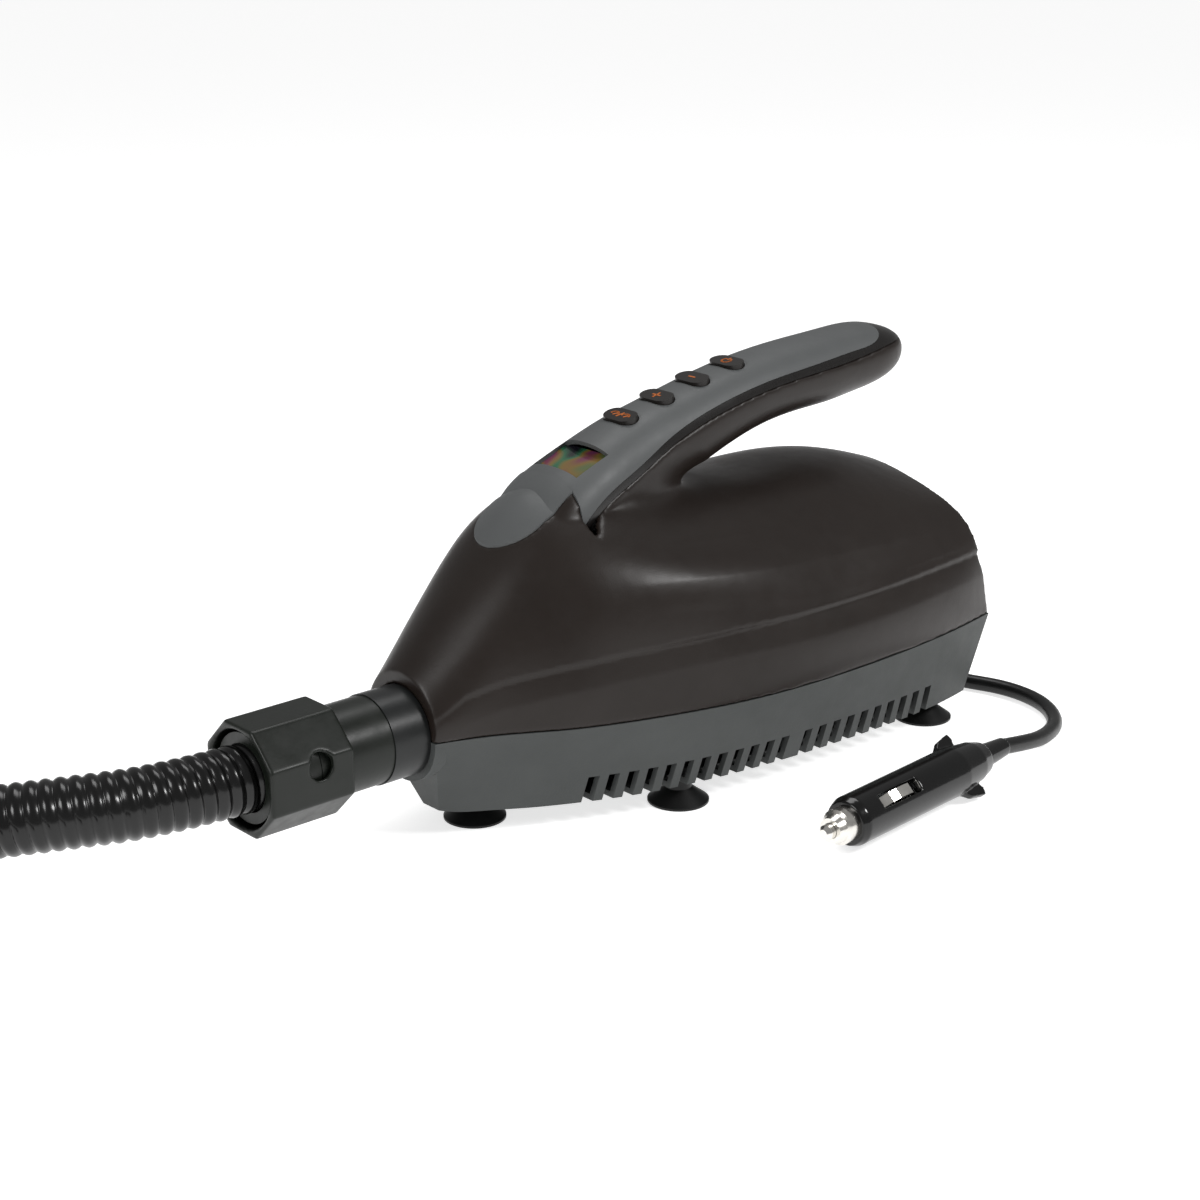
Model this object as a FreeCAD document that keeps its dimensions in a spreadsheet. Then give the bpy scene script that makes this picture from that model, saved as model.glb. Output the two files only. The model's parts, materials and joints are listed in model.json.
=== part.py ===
import FreeCAD, Part
import Sketcher
import math
import os

# Electric air mattress pump: a boat-shaped housing with a handle that rises from the nose,
# a blower and a piston compressor inside, a corrugated hose and a 12 V lead.
# X runs from the outlet at the nose (-X) to the transom (+X), -Y is the left side, +Z is up.
# The origin is on the floor under the middle of the housing.

V = FreeCAD.Vector
Rotation = FreeCAD.Rotation
doc = FreeCAD.newDocument("air_pump")
sheet = doc.addObject("Spreadsheet::Sheet", "Sizes")

SIZES = [
    # housing
    ("body_length", 284.0),
    ("body_width", 148.0),
    ("seam_height", 48.0),
    ("base_height", 10.7),
    ("deck_height", 123.0),
    ("handle_height", 174.6),
    ("wall", 2.6),
    ("fit_gap", 0.3),
    ("shell_gap", 0.15),
    # vents along both sides
    ("slot_width", 4.4),
    ("slot_height", 12.5),
    ("slot_depth", 7.0),
    # handle trim
    ("panel_thickness", 2.2),
    ("rim_height", 3.4),
    ("tongue_thickness", 1.6),
    ("window_width", 27.0),
    ("window_length", 18.4),
    ("lens_thickness", 1.4),
    ("lens_depth", 4.6),
    ("lens_lap", 1.0),
    ("display_depth", 5.0),
    # buttons
    ("button_length", 17.0),
    ("button_width", 9.4),
    ("button_stand", 1.1),
    ("button_body", 4.2),
    ("button_travel", 1.0),
    ("button_pitch", 20.4),
    ("membrane_thickness", 1.0),
    ("board_thickness", 1.6),
    ("switch_side", 6.0),
    ("switch_height", 2.0),
    # feet
    ("foot_radius", 13.0),
    ("foot_neck_radius", 4.0),
    ("foot_bulb_radius", 5.6),
    # case screws
    ("screw_radius", 1.5),
    ("screw_head_radius", 3.0),
    ("boss_radius", 4.5),
    # outlet
    ("port_height", 48.2),
    ("port_bore", 16.0),
    ("port_depth", 44.0),
    ("flap_pin_radius", 0.8),
    ("air_tube_radius", 3.0),
    ("sleeve_radius", 18.6),
    ("sleeve_length", 17.0),
    ("collar_length", 40.0),
    ("nut_across", 43.6),
    ("nut_length", 38.0),
    ("nut_mouth", 19.6),
    ("hose_radius", 13.7),
    ("hose_bore", 10.8),
    ("nozzle_radius", 11.0),
    # blower
    ("blower_x", -18.0),
    ("blower_y", -16.0),
    ("blower_radius", 38.0),
    ("impeller_radius", 31.0),
    ("blower_floor", 20.0),
    ("blower_depth", 30.0),
    ("eye_radius", 17.0),
    ("fan_motor_radius", 19.0),
    ("fan_motor_length", 46.0),
    ("shaft_radius", 2.0),
    ("running_gap", 0.05),
    ("duct_radius", 14.0),
    # compressor
    ("plate_x", 67.0),
    ("plate_thickness", 3.0),
    ("crank_height", 43.0),
    ("gear_module", 1.0),
    ("pinion_teeth", 12.0),
    ("gear_teeth", 48.0),
    ("gear_width", 6.0),
    ("crank_radius", 7.0),
    ("crank_pin_radius", 2.5),
    ("rod_length", 38.0),
    ("rod_thickness", 4.0),
    ("piston_radius", 12.0),
    ("piston_height", 11.0),
    ("cylinder_radius", 14.0),
    ("motor_radius", 17.0),
    ("motor_length", 54.0),
    # lead and plug
    ("cable_radius", 3.5),
    ("gland_radius", 6.0),
    ("gland_length", 26.0),
    ("coil_middle", 40.0),
    ("plug_radius", 10.6),
    ("plug_ring_radius", 7.4),
    ("plug_pin_radius", 3.2),
    ("plug_height", 12.6),
]
for row, (name, value) in enumerate(SIZES, start=1):
    sheet.set("A%d" % row, name)
    sheet.set("B%d" % row, str(value))
    sheet.setAlias("B%d" % row, name)
doc.recompute()


class Size:
    """A number together with the sheet expression that it comes from."""

    def __init__(self, value, text):
        self.value = float(value)
        self.text = text

    def __add__(self, other):
        other = size(other)
        return Size(self.value + other.value, "(%s + %s)" % (self.text, other.text))

    def __sub__(self, other):
        other = size(other)
        return Size(self.value - other.value, "(%s - %s)" % (self.text, other.text))

    def __mul__(self, factor):
        factor = size(factor)
        return Size(self.value * factor.value, "(%s * %s)" % (self.text, factor.text))

    def __truediv__(self, divisor):
        divisor = size(divisor)
        return Size(self.value / divisor.value, "(%s / %s)" % (self.text, divisor.text))

    def __neg__(self):
        return Size(-self.value, "(-1 * %s)" % self.text)

    def __radd__(self, other):
        return size(other) + self

    def __rsub__(self, other):
        return size(other) - self

    def __rmul__(self, other):
        return size(other) * self


def size(number):
    """A plain number as a Size; a Size as it is."""
    if isinstance(number, Size):
        return number
    return Size(number, "(%.9g)" % float(number))


def cell(name):
    """The sheet's value with this alias, as a Size."""
    return Size(float(sheet.get(name)), "Sizes." + name)


TURNS = {
    "z": Rotation(),
    "x": Rotation(V(0, 1, 0), 90),
    "y": Rotation(V(1, 0, 0), -90),
}
LEVEL = Rotation()


def bind(thing, name, amount):
    """Set a property and tie it to the sheet."""
    amount = size(amount)
    setattr(thing, name, amount.value)
    thing.setExpression(name, amount.text)


def place(thing, at, turn=LEVEL):
    """Put an object at a point that is tied to the sheet."""
    spot = [size(number) for number in at]
    thing.Placement = FreeCAD.Placement(V(*[number.value for number in spot]), turn)
    for axis, number in zip("xyz", spot):
        thing.setExpression(".Placement.Base." + axis, number.text)
    return thing


def rod(label, radius, length, at, axis="z", turn=None):
    """A round bar that starts at a point and runs along an axis."""
    bar = doc.addObject("Part::Cylinder", label)
    bind(bar, "Radius", radius)
    bind(bar, "Height", length)
    return place(bar, at, turn or TURNS[axis])


def block(label, length, width, height, at, turn=LEVEL):
    """A box from its lowest corner."""
    box = doc.addObject("Part::Box", label)
    bind(box, "Length", length)
    bind(box, "Width", width)
    bind(box, "Height", height)
    return place(box, at, turn)


def join(label, *pieces):
    """Several overlapping solids as one."""
    whole = doc.addObject("Part::MultiFuse", label)
    whole.Shapes = list(pieces)
    return whole


def cut(label, base, *tools):
    """A solid less the others."""
    tool = tools[0] if len(tools) == 1 else join(label + "_tools", *tools)
    rest = doc.addObject("Part::Cut", label)
    rest.Base = base
    rest.Tool = tool
    return rest


def group(label, *pieces):
    """Separate solids that share one node."""
    bundle = doc.addObject("Part::Compound", label)
    bundle.Links = list(pieces)
    return bundle


def feature(label, shape):
    """A free-form solid made with Part's own functions."""
    item = doc.addObject("Part::Feature", label)
    item.Shape = shape
    return item


def outline_sketch(body, plane, corners):
    """A closed outline of straight lines in one of the body's own planes, every corner tied."""
    sketch = body.newObject("Sketcher::SketchObject", body.Name + "_sketch")
    planes = [item for item in body.Origin.OriginFeatures if item.Role == plane]
    sketch.AttachmentSupport = (planes[0], "")
    sketch.MapMode = "FlatFace"
    spots = [(size(across), size(along)) for across, along in corners]
    count = len(spots)
    for index in range(count):
        first = spots[index]
        second = spots[(index + 1) % count]
        start = V(first[0].value, first[1].value, 0)
        end = V(second[0].value, second[1].value, 0)
        sketch.addGeometry(Part.LineSegment(start, end), False)
    for index in range(count):
        sketch.addConstraint(Sketcher.Constraint("Coincident", index, 2, (index + 1) % count, 1))
    for index, (across, along) in enumerate(spots):
        for kind, number in (("DistanceX", across), ("DistanceY", along)):
            row = sketch.addConstraint(Sketcher.Constraint(kind, index, 1, number.value))
            sketch.setExpression("Constraints[%d]" % row, number.text)
    return sketch


def turned(label, profile, at, axis="z", turn=None):
    """A turned piece: its profile is a list of radius and height, spun about its own Z."""
    body = doc.addObject("PartDesign::Body", label)
    sketch = outline_sketch(body, "XZ_Plane", profile)
    spin = body.newObject("PartDesign::Revolution", label + "_spin")
    spin.Profile = sketch
    spin.ReferenceAxis = (sketch, ["V_Axis"])
    spin.Angle = 360.0
    return place(body, at, turn or TURNS[axis])


def plate(label, corners, thickness, at, turn=LEVEL):
    """A flat piece: its outline in X and Y, padded up its own Z."""
    body = doc.addObject("PartDesign::Body", label)
    sketch = outline_sketch(body, "XY_Plane", corners)
    pad = body.newObject("PartDesign::Pad", label + "_pad")
    pad.Profile = sketch
    bind(pad, "Length", thickness)
    return place(body, at, turn)


# ---------------------------------------------------------------- the housing's outlines
body_length = cell("body_length")
body_width = cell("body_width")
seam_height = cell("seam_height")
base_height = cell("base_height")
deck_height = cell("deck_height")
handle_height = cell("handle_height")
wall = cell("wall")
fit_gap = cell("fit_gap")
shell_gap = cell("shell_gap")
running_gap = cell("running_gap")
front = -0.5 * body_length
rear = 0.5 * body_length
floor_top = base_height + wall

# The tables below give the outlines of a housing of this length, half width and height
# between seam and deck; they stretch with the sheet's sizes.
TABLE_LENGTH = 284.0
TABLE_SEAM = 48.0
TABLE_DECK = 123.0
TABLE_HALF_WIDTH = 74.0
TABLE_RISE = 75.0
TABLE_HANDLE_RISE = 51.6
LONG = body_length.value / TABLE_LENGTH
WIDE = 0.5 * body_width.value / TABLE_HALF_WIDTH
RISE = (deck_height.value - seam_height.value) / TABLE_RISE
HANDLE_RISE = (handle_height.value - deck_height.value) / TABLE_HANDLE_RISE

# distance from the nose, half width: the outline at the seam and at the bottom edge
SEAM_OUTLINE = [(0, 21.5), (13, 26), (28, 33), (49, 45), (71, 54.5), (97, 63), (124, 69.5),
                (169, 73.8), (218, 73), (246, 70.6), (284, 64.3)]
BASE_OUTLINE = [(13.5, 5), (17, 10), (28, 18), (42, 27), (57, 35), (84, 46.5), (117, 55),
                (151, 60), (201, 63), (255, 61.5), (276.5, 58)]
# distance from the nose, then half width and height at the seam, the lower crease, the
# deck's edge and the deck, and the height of the middle line
HULL = [(0, 21.5, 21, 58, 16.5, 65, 9, 70.5, 72.5),
        (13, 26, 25, 66, 20, 76, 11, 83, 86),
        (28, 33, 31, 70, 26, 86, 15, 97, 101),
        (49, 45, 42.5, 74, 35, 96.5, 20, 115, 121.5),
        (71, 54.5, 51.8, 76.5, 45, 102, 25, 123, 134),
        (97, 63, 60, 78, 53, 101.5, 29.5, 120.5, 129),
        (124, 69.5, 66, 79, 58, 99, 32, 117, 124),
        (169, 73.8, 70, 79, 59.4, 95.5, 33, 115.6, 122.7),
        (218, 73, 69, 79, 59.2, 93, 33, 115, 122.5),
        (246, 70.6, 66.5, 79, 58.4, 92, 32.6, 111.3, 118.2),
        (272, 66.6, 63.5, 79, 57.5, 91.6, 32, 104.8, 110.2),
        (289, 63.3, 60, 79, 57, 91.6, 32, 100, 104)]
# distance from the nose, half width, underside and top of the handle
HANDLE = [(59, 18, 96, 121),
          (74, 23, 100, 138.2),
          (94, 21.6, 106, 147.5),
          (114, 20, 114, 154.8),
          (139, 19, 123.5, 161),
          (165, 18.5, 133.5, 166.6),
          (194, 18, 141, 171.2),
          (224, 18, 143.2, 173.4),
          (254, 17.6, 146.2, 174.6),
          (269, 16, 149.5, 173.2),
          (278, 11.5, 154, 169.6),
          (283, 5, 159, 164.4)]
# distance from the nose and height: where the handle's panel ends on each side
PANEL_EDGE = [(76, 121), (92, 132), (111, 140), (125, 146.6), (140, 152.2), (162, 158), (188, 162.4),
              (214, 164.8), (243, 167.2), (256, 169), (262, 172), (266, 178)]
RIM_EDGE_END = [(262, 166.4), (290, 166.6)]
PANEL_FRONT = 76.0
TRANSOM_LEAN = 12.0
TRANSOM_LEAN_HEIGHT = 52.0


def along(distance):
    """X of a point given by its distance from the nose in the tables."""
    return front.value + distance * LONG


def shell_z(height):
    """A table's height above the seam, stretched to the deck's height."""
    return seam_height.value + (height - TABLE_SEAM) * RISE


def handle_z(height):
    """A table's height on the handle, stretched above or below the deck."""
    if height <= TABLE_DECK:
        return shell_z(height)
    return deck_height.value + (height - TABLE_DECK) * HANDLE_RISE


def spline(points):
    """One smooth edge through the points."""
    curve = Part.BSplineCurve()
    curve.interpolate([V(*point) for point in points])
    return curve.toShape()


def line(first, second):
    """One straight edge."""
    return Part.LineSegment(V(*first), V(*second)).toShape()


def closed_outline(table, height, inset):
    """The plan outline at a height: cheeks, flat nose and transom, drawn in by the inset."""
    end_inset = [0.0] * len(table)
    end_inset[0] = inset
    end_inset[-1] = -inset
    left = [(along(distance) + shift, -(half * WIDE - inset), height)
            for (distance, half), shift in zip(table, end_inset)]
    right = [(x, -y, z) for x, y, z in left]
    edges = [spline(left), line(left[-1], right[-1]), spline(list(reversed(right))), line(right[0], left[0])]
    return Part.Wire(edges)


def lower_block(inset, bottom, top):
    """The lower shell's outer form between two heights, drawn in by the inset."""
    rows = []
    drop = seam_height.value - base_height.value
    for height in (bottom, top):
        share = (height - base_height.value) / drop
        table = []
        for (low_x, low_half), (high_x, high_half) in zip(BASE_OUTLINE, SEAM_OUTLINE):
            distance = low_x + share * (high_x - low_x)
            half = low_half + share * (high_half - low_half)
            table.append((distance, half))
        rows.append(closed_outline(table, height, inset))
    return Part.makeLoft(rows, True, True)


def hull_block(grow, bottom):
    """The upper shell's outer form down to a height, grown or drawn in."""
    rows = []
    for index, row in enumerate(HULL):
        distance, half, crease_half, crease, edge_half, edge, deck_half, deck, middle = row
        x = along(distance)
        if index == 0:
            x = x - grow
        side = [(half * WIDE + grow, bottom),
                (crease_half * WIDE + grow, shell_z(crease)),
                (edge_half * WIDE + 0.75 * grow, shell_z(edge) + 0.65 * grow),
                (deck_half * WIDE + 0.3 * grow, shell_z(deck) + 0.95 * grow)]
        arch = [(x, -y, z) for y, z in side]
        arch.append((x, 0.0, shell_z(middle) + grow))
        arch.extend([(x, y, z) for y, z in reversed(side)])
        rows.append(Part.Wire([spline(arch), line(arch[-1], arch[0])]))
    hull = Part.makeLoft(rows, True, False)
    return hull.common(transom_side(grow))


def transom_side(grow):
    """Everything in front of the leaning transom."""
    lean = TRANSOM_LEAN / TRANSOM_LEAN_HEIGHT
    low = -20.0
    high = 160.0
    x_low = rear.value + grow - (low - seam_height.value) * lean
    x_high = rear.value + grow - (high - seam_height.value) * lean
    reach = body_width.value
    x_front = front.value - 40.0
    corners = [(x_front, -reach, low), (x_low, -reach, low), (x_high, -reach, high), (x_front, -reach, high)]
    face = Part.Face(Part.makePolygon([V(*corner) for corner in corners + corners[:1]]))
    return face.extrude(V(0, 2 * reach, 0))


HANDLE_POWER = 2.4
HANDLE_STEPS = 12


def handle_block(grow):
    """The handle's outer form: rounded sections along its length, grown or drawn in."""
    rows = []
    for index, (distance, half, under, top) in enumerate(HANDLE):
        x = along(distance)
        if index == len(HANDLE) - 1:
            x = x + grow
        middle = 0.5 * (handle_z(under) + handle_z(top))
        tall = max(0.5 * (handle_z(top) - handle_z(under)) + grow, 0.6)
        wide = max(half + grow, 0.6)
        points = []
        for step in range(HANDLE_STEPS):
            angle = 2 * math.pi * step / HANDLE_STEPS
            across = math.copysign(abs(math.cos(angle)) ** (2 / HANDLE_POWER), math.cos(angle))
            up = math.copysign(abs(math.sin(angle)) ** (2 / HANDLE_POWER), math.sin(angle))
            points.append(V(x, wide * across, middle + tall * up))
        curve = Part.BSplineCurve()
        curve.interpolate(Points=points, PeriodicFlag=True)
        rows.append(Part.Wire([curve.toShape()]))
    return Part.makeLoft(rows, True, False)


def above(table, lower, start):
    """Everything above a side line on the handle, lowered by an amount, behind a distance."""
    points = [(along(distance), handle_z(height) - lower) for distance, height in table]
    ceiling = 230.0
    reach = 60.0
    edge = [(x, -reach, z) for x, z in points if x >= along(start) - 0.01]
    first = edge[0]
    last = edge[-1]
    edges = [spline(edge), line(last, (last[0], -reach, ceiling)),
             line((last[0], -reach, ceiling), (first[0], -reach, ceiling)),
             line((first[0], -reach, ceiling), first)]
    return Part.Face(Part.Wire(edges)).extrude(V(0, 2 * reach, 0))


def crest(distance):
    """Height and slope (degrees) of the handle's middle line at a distance from the nose."""
    curve = Part.BSplineCurve()
    curve.interpolate([V(along(row[0]), 0, handle_z(row[3])) for row in HANDLE])
    parameter = curve.parameter(V(along(distance), 0, handle_z(TABLE_DECK + 20)))
    for _ in range(12):
        spot = curve.value(parameter)
        tangent = curve.tangent(parameter)[0]
        parameter = curve.parameter(spot + tangent * ((along(distance) - spot.x) / tangent.x))
    return curve.value(parameter).z, math.degrees(math.atan2(tangent.z, tangent.x))



# ---------------------------------------------------------------- shells
port_height = cell("port_height")
port_outer = cell("port_bore") + 2.2
FEET = [("foot_front", 36.2, 0.0), ("foot_middle_left", 110.5, -0.588), ("foot_middle_right", 110.5, 0.588),
        ("foot_rear_left", 259.1, -0.662), ("foot_rear_right", 259.1, 0.662)]
BOSSES = [(52, -0.36), (66, 0.44), (162, -0.77), (162, 0.77), (236, -0.77), (236, 0.77)]
SLOT_GROUPS = [(64, 153, 12), (166, 243, 10)]
gland_y = size(22)
gland_z = size(26)


def spot(distance, share):
    """X and Y of a point on the base, tied to the body's length and width."""
    x = front + body_length * (distance / TABLE_LENGTH)
    return x, 0.5 * body_width * share


def base_half(distance):
    """The bottom outline's half width at a distance from the nose."""
    for (x0, y0), (x1, y1) in zip(BASE_OUTLINE, BASE_OUTLINE[1:]):
        if x0 <= distance <= x1:
            return (y0 + (y1 - y0) * (distance - x0) / (x1 - x0)) * WIDE
    return BASE_OUTLINE[-1][1] * WIDE


def post(x, y, bottom, top, outside):
    """A round post between two heights, kept inside a form."""
    radius = cell("boss_radius").value
    return Part.makeCylinder(radius, top - bottom, V(x, y, bottom)).common(outside)


def slot_cutters():
    """Boxes for the air slots that open at the bottom edge of both sides."""
    cutters = []
    width = cell("slot_width").value
    depth = cell("slot_depth").value
    tall = base_height.value + cell("slot_height").value
    for first, last, count in SLOT_GROUPS:
        for index in range(count):
            distance = first + (last - first) * index / (count - 1)
            x = along(distance)
            for side in (-1, 1):
                inner = side * (base_half(distance) - depth)
                outer = side * (base_half(distance) + 20)
                low = min(inner, outer)
                cutters.append(Part.makeBox(width, abs(outer - inner), tall, V(x - width / 2, low, 0)))
    return cutters


def nose_drum(radius, inset):
    """The drum below the seam that wraps the outlet port."""
    depth = 24.0
    drum = Part.makeCylinder(radius, depth - inset, V(front.value + inset, 0, port_height.value), V(1, 0, 0))
    keep = Part.makeBox(depth, 2 * radius, seam_height.value, V(front.value, -radius, 0))
    return drum.common(keep)


def make_lower_shell():
    """The grey tub with its slots, screw posts and the holes for feet, port and lead."""
    outside = lower_block(0, base_height.value, seam_height.value).fuse(nose_drum(port_outer.value + 3.2, 0))
    hollow = lower_block(wall.value, floor_top.value, seam_height.value + 1)
    shell = outside.cut(hollow.fuse(nose_drum(port_outer.value + 1.5, wall.value)))
    posts = []
    for distance, share in BOSSES:
        x, y = spot(distance, share)
        posts.append(post(x.value, y.value, base_height.value, seam_height.value, outside))
    shell = shell.fuse(posts).removeSplitter()
    shell = shell.cut(slot_cutters())
    form = feature("lower_form", shell)
    tools = []
    for label, distance, share in FEET:
        x, y = spot(distance, share)
        tools.append(rod(label + "_hole", cell("foot_neck_radius") + 0.1, wall + 2, (x, y, base_height - 1)))
    for index, (distance, share) in enumerate(BOSSES):
        x, y = spot(distance, share)
        tools.append(rod("screw_hole_%d" % index, cell("screw_radius") + 0.1, seam_height, (x, y, 0)))
        depth = base_height + 10
        tools.append(rod("screw_recess_%d" % index, cell("screw_head_radius") + 0.3, depth, (x, y, 0)))
    tools.append(rod("lower_port_hole", port_outer + fit_gap, 6, (front - 1, 0, port_height), "x"))
    tools.append(rod("gland_hole", cell("gland_radius") - 1, 12, (rear - 14, gland_y, gland_z), "x"))
    return cut("lower_shell", form, *tools)


def make_upper_shell():
    """The dark deck, nose and lower half of the handle, open below."""
    bottom = seam_height.value + shell_gap.value
    outside = hull_block(0, bottom).fuse(handle_block(0))
    shell = outside.cut(hull_block(-wall.value, bottom - 1)).cut(handle_block(-wall.value))
    shell = shell.cut(above(RIM_TABLE, 0, PANEL_FRONT))
    shell = shell.cut(tongue_shape(0.0))
    ceiling = hull_block(-0.8, bottom)
    for distance, share in BOSSES:
        x, y = spot(distance, share)
        shell = shell.fuse(post(x.value, y.value, bottom, deck_height.value + 30, ceiling))
    form = feature("upper_form", shell.removeSplitter())
    tools = []
    for index, (distance, share) in enumerate(BOSSES):
        x, y = spot(distance, share)
        tools.append(rod("screw_pilot_%d" % index, cell("screw_radius") + 0.1, 18, (x, y, seam_height - 1)))
    tools.append(rod("upper_port_hole", port_outer + fit_gap, 6, (front - 1, 0, port_height), "x"))
    return cut("upper_shell", form, *tools)


RIM_TABLE = [(distance, height - cell("rim_height").value) for distance, height in PANEL_EDGE[:-3]]
RIM_TABLE += RIM_EDGE_END


def handle_skin(thickness, grow):
    """The handle's outer wall of one thickness."""
    return handle_block(grow).cut(handle_block(grow - thickness))


def button_turn(slope):
    """The turn that tips Z back onto a handle surface of this slope."""
    return Rotation(V(0, 1, 0), -slope)


def make_handle_rim():
    """The glossy band between the handle's shell and its panel."""
    band = handle_skin(wall.value, 0).common(above(RIM_TABLE, -shell_gap.value, PANEL_FRONT))
    band = band.cut(above(PANEL_EDGE, 0, PANEL_FRONT - 1))
    return feature("handle_rim", band)


def stadium(length, width, height):
    """A solid with straight sides and round ends, long in Y, centred, from Z 0 up."""
    straight = length - width
    middle = Part.makeBox(width, straight, height, V(-width / 2, -straight / 2, 0))
    ends = [Part.makeCylinder(width / 2, height, V(0, side * straight / 2, 0)) for side in (-1, 1)]
    return middle.fuse(ends).removeSplitter()


BUTTONS = ["units_button", "plus_button", "minus_button", "power_button"]
UNITS_DISTANCE = 117.0
WINDOW_DISTANCE = 88.2


def button_distance(index):
    """Where a button sits along the handle."""
    return UNITS_DISTANCE + index * cell("button_pitch").value / LONG


def seated(shape, distance, lift):
    """Put a shape on the handle's middle line, square to its surface, lifted above it."""
    height, slope = crest(distance)
    turn = button_turn(slope)
    base = V(along(distance), 0, height) + turn.multVec(V(0, 0, lift))
    placed = shape.copy()
    placed.Placement = FreeCAD.Placement(base, turn)
    return placed


def window_block(lap, low, high):
    """The display window's opening, widened by a lap, between two lifts."""
    length = cell("window_length").value + 2 * lap
    width = cell("window_width").value + 2 * lap
    box = Part.makeBox(length, width, high - low, V(-length / 2, -width / 2, low))
    return seated(box, WINDOW_DISTANCE, 0)


def lens_block(gap):
    """The lens behind the window, or its pocket when a gap is added all round."""
    depth = cell("lens_depth").value
    lap = cell("lens_lap").value + gap
    return window_block(lap, -depth - cell("lens_thickness").value - 6 * gap, -depth)


def make_handle_panel():
    """The grey inlay with the button holes and the display window."""
    panel = handle_skin(cell("panel_thickness").value, 0).common(above(PANEL_EDGE, -shell_gap.value, PANEL_FRONT))
    gap = fit_gap.value
    hole = stadium(cell("button_length").value + 2 * gap, cell("button_width").value + 2 * gap, 20)
    for index in range(len(BUTTONS)):
        panel = panel.cut(seated(hole, button_distance(index), -12))
    panel = panel.cut(window_block(0, -12, 12))
    panel = panel.cut(lens_block(gap))
    return feature("handle_panel", panel)


def make_buttons():
    """Four caps with a flange below the panel."""
    for index, label in enumerate(BUTTONS):
        stand = cell("button_stand").value
        body = cell("button_body").value
        cap = stadium(cell("button_length").value, cell("button_width").value, stand + body)
        feature(label, seated(cap, button_distance(index), -body))


TONGUE_FRONT = 43.0
TONGUE_BACK = 75.8
TONGUE_HALF = 16.5


def tongue_shape(gap):
    """The pad below the display: a piece of the nose's skin inside a rounded outline."""
    depth = cell("tongue_thickness").value
    half = TONGUE_HALF + gap
    x_low = along(TONGUE_FRONT) + half - gap
    x_high = along(TONGUE_BACK)
    tall = 200.0
    prism = Part.makeBox(x_high - x_low, 2 * half, tall, V(x_low, -half, 0))
    prism = prism.fuse(Part.makeCylinder(half, tall, V(x_low, 0, 0)))
    low = seam_height.value
    outside = hull_block(0.4, low).fuse(handle_block(0.4))
    skin = outside.common(prism).cut(hull_block(-depth, low)).cut(handle_block(-depth))
    return skin.removeSplitter()


def make_display():
    """The dark lens below the window, and the display behind it."""
    feature("display_lens", lens_block(0))
    top = -cell("lens_depth").value - cell("lens_thickness").value
    length = cell("window_length").value + 4
    width = cell("window_width").value - 3
    deep = cell("display_depth").value
    box = Part.makeBox(length, width, deep, V(-length / 2, -width / 2, top - deep))
    feature("display_module", seated(box, WINDOW_DISTANCE, 0))


def make_button_electronics():
    """The rubber sheet, the switches and the board on the straight line below the buttons."""
    first = crest(button_distance(0))[0]
    last = crest(button_distance(len(BUTTONS) - 1))[0]
    x_first = along(button_distance(0))
    x_last = along(button_distance(len(BUTTONS) - 1))
    slope = math.degrees(math.atan2(last - first, x_last - x_first))
    turn = button_turn(slope)
    span = math.hypot(last - first, x_last - x_first)
    origin = V(x_first, 0, first)
    end = 8.0

    def layer(low, high, half, start, finish):
        slab = Part.makeBox(finish - start, 2 * half, high - low, V(start, -half, low))
        slab.Placement = FreeCAD.Placement(origin, turn)
        return slab

    air = 0.3
    top = -cell("button_body").value - cell("button_travel").value - air
    rubber = top - cell("membrane_thickness").value
    feature("button_membrane", layer(rubber, top, 9.5, -end, span + end))
    switch_top = rubber - air
    board_top = switch_top - cell("switch_height").value
    half = cell("switch_side").value / 2
    switches = []
    for index in range(len(BUTTONS)):
        middle = span * index / (len(BUTTONS) - 1)
        switches.append(layer(board_top, switch_top, half, middle - half, middle + half))
    feature("tact_switches", Part.makeCompound(switches))
    thick = cell("board_thickness").value
    feature("button_board", layer(board_top - thick, board_top, 10.5, -end, span + end))


# ---------------------------------------------------------------- feet, screws
def make_foot(label, distance, share):
    """A rubber suction cup with a neck through the base and a bulb above it."""
    radius = cell("foot_radius")
    neck = cell("foot_neck_radius")
    bulb = cell("foot_bulb_radius")
    x, y = spot(distance, share)
    lip = 0.9
    profile = [(0, 3.2), (4, 3.0), (radius - 3, 1.4), (radius - 0.6, 0), (radius, 0), (radius, lip),
               (radius - 4, 3.8), (neck + 1.6, 6.4), (neck + 1.6, base_height), (neck, base_height),
               (neck, floor_top), (bulb, floor_top), (bulb - 0.8, floor_top + 2.6),
               (bulb - 2.6, floor_top + 3.8), (0, floor_top + 3.8)]
    turned(label, profile, (x, y, 0))


def make_case_screws():
    """Screws from below, through the lower posts and into the upper ones."""
    screws = []
    head_top = base_height + 10
    for index, (distance, share) in enumerate(BOSSES):
        x, y = spot(distance, share)
        radius = cell("screw_radius")
        head = cell("screw_head_radius")
        length = seam_height - head_top + 12
        profile = [(0, -2), (head - 0.6, -2), (head, -1.2), (head, 0), (radius, 0), (radius, length),
                   (0, length + 1.5)]
        screws.append(turned("case_screw_%d" % index, profile, (x, y, head_top)))
    group("case_screws", *screws)


# ---------------------------------------------------------------- outlet, blower
port_bore = cell("port_bore")
port_depth = cell("port_depth")
blower_x = cell("blower_x")
blower_y = cell("blower_y")
blower_radius = cell("blower_radius")
blower_floor = cell("blower_floor")
blower_depth = cell("blower_depth")
duct_radius = cell("duct_radius")
duct_wall = 2.0
duct_y = blower_y + 22.5
duct_z = blower_floor + 2 + 0.5 * (blower_depth - 2)
duct_start = blower_x - blower_radius - 6
port_end = front + port_depth
flap_radius = port_bore - 3.4
flap_pivot = port_height + flap_radius + 0.6


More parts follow.
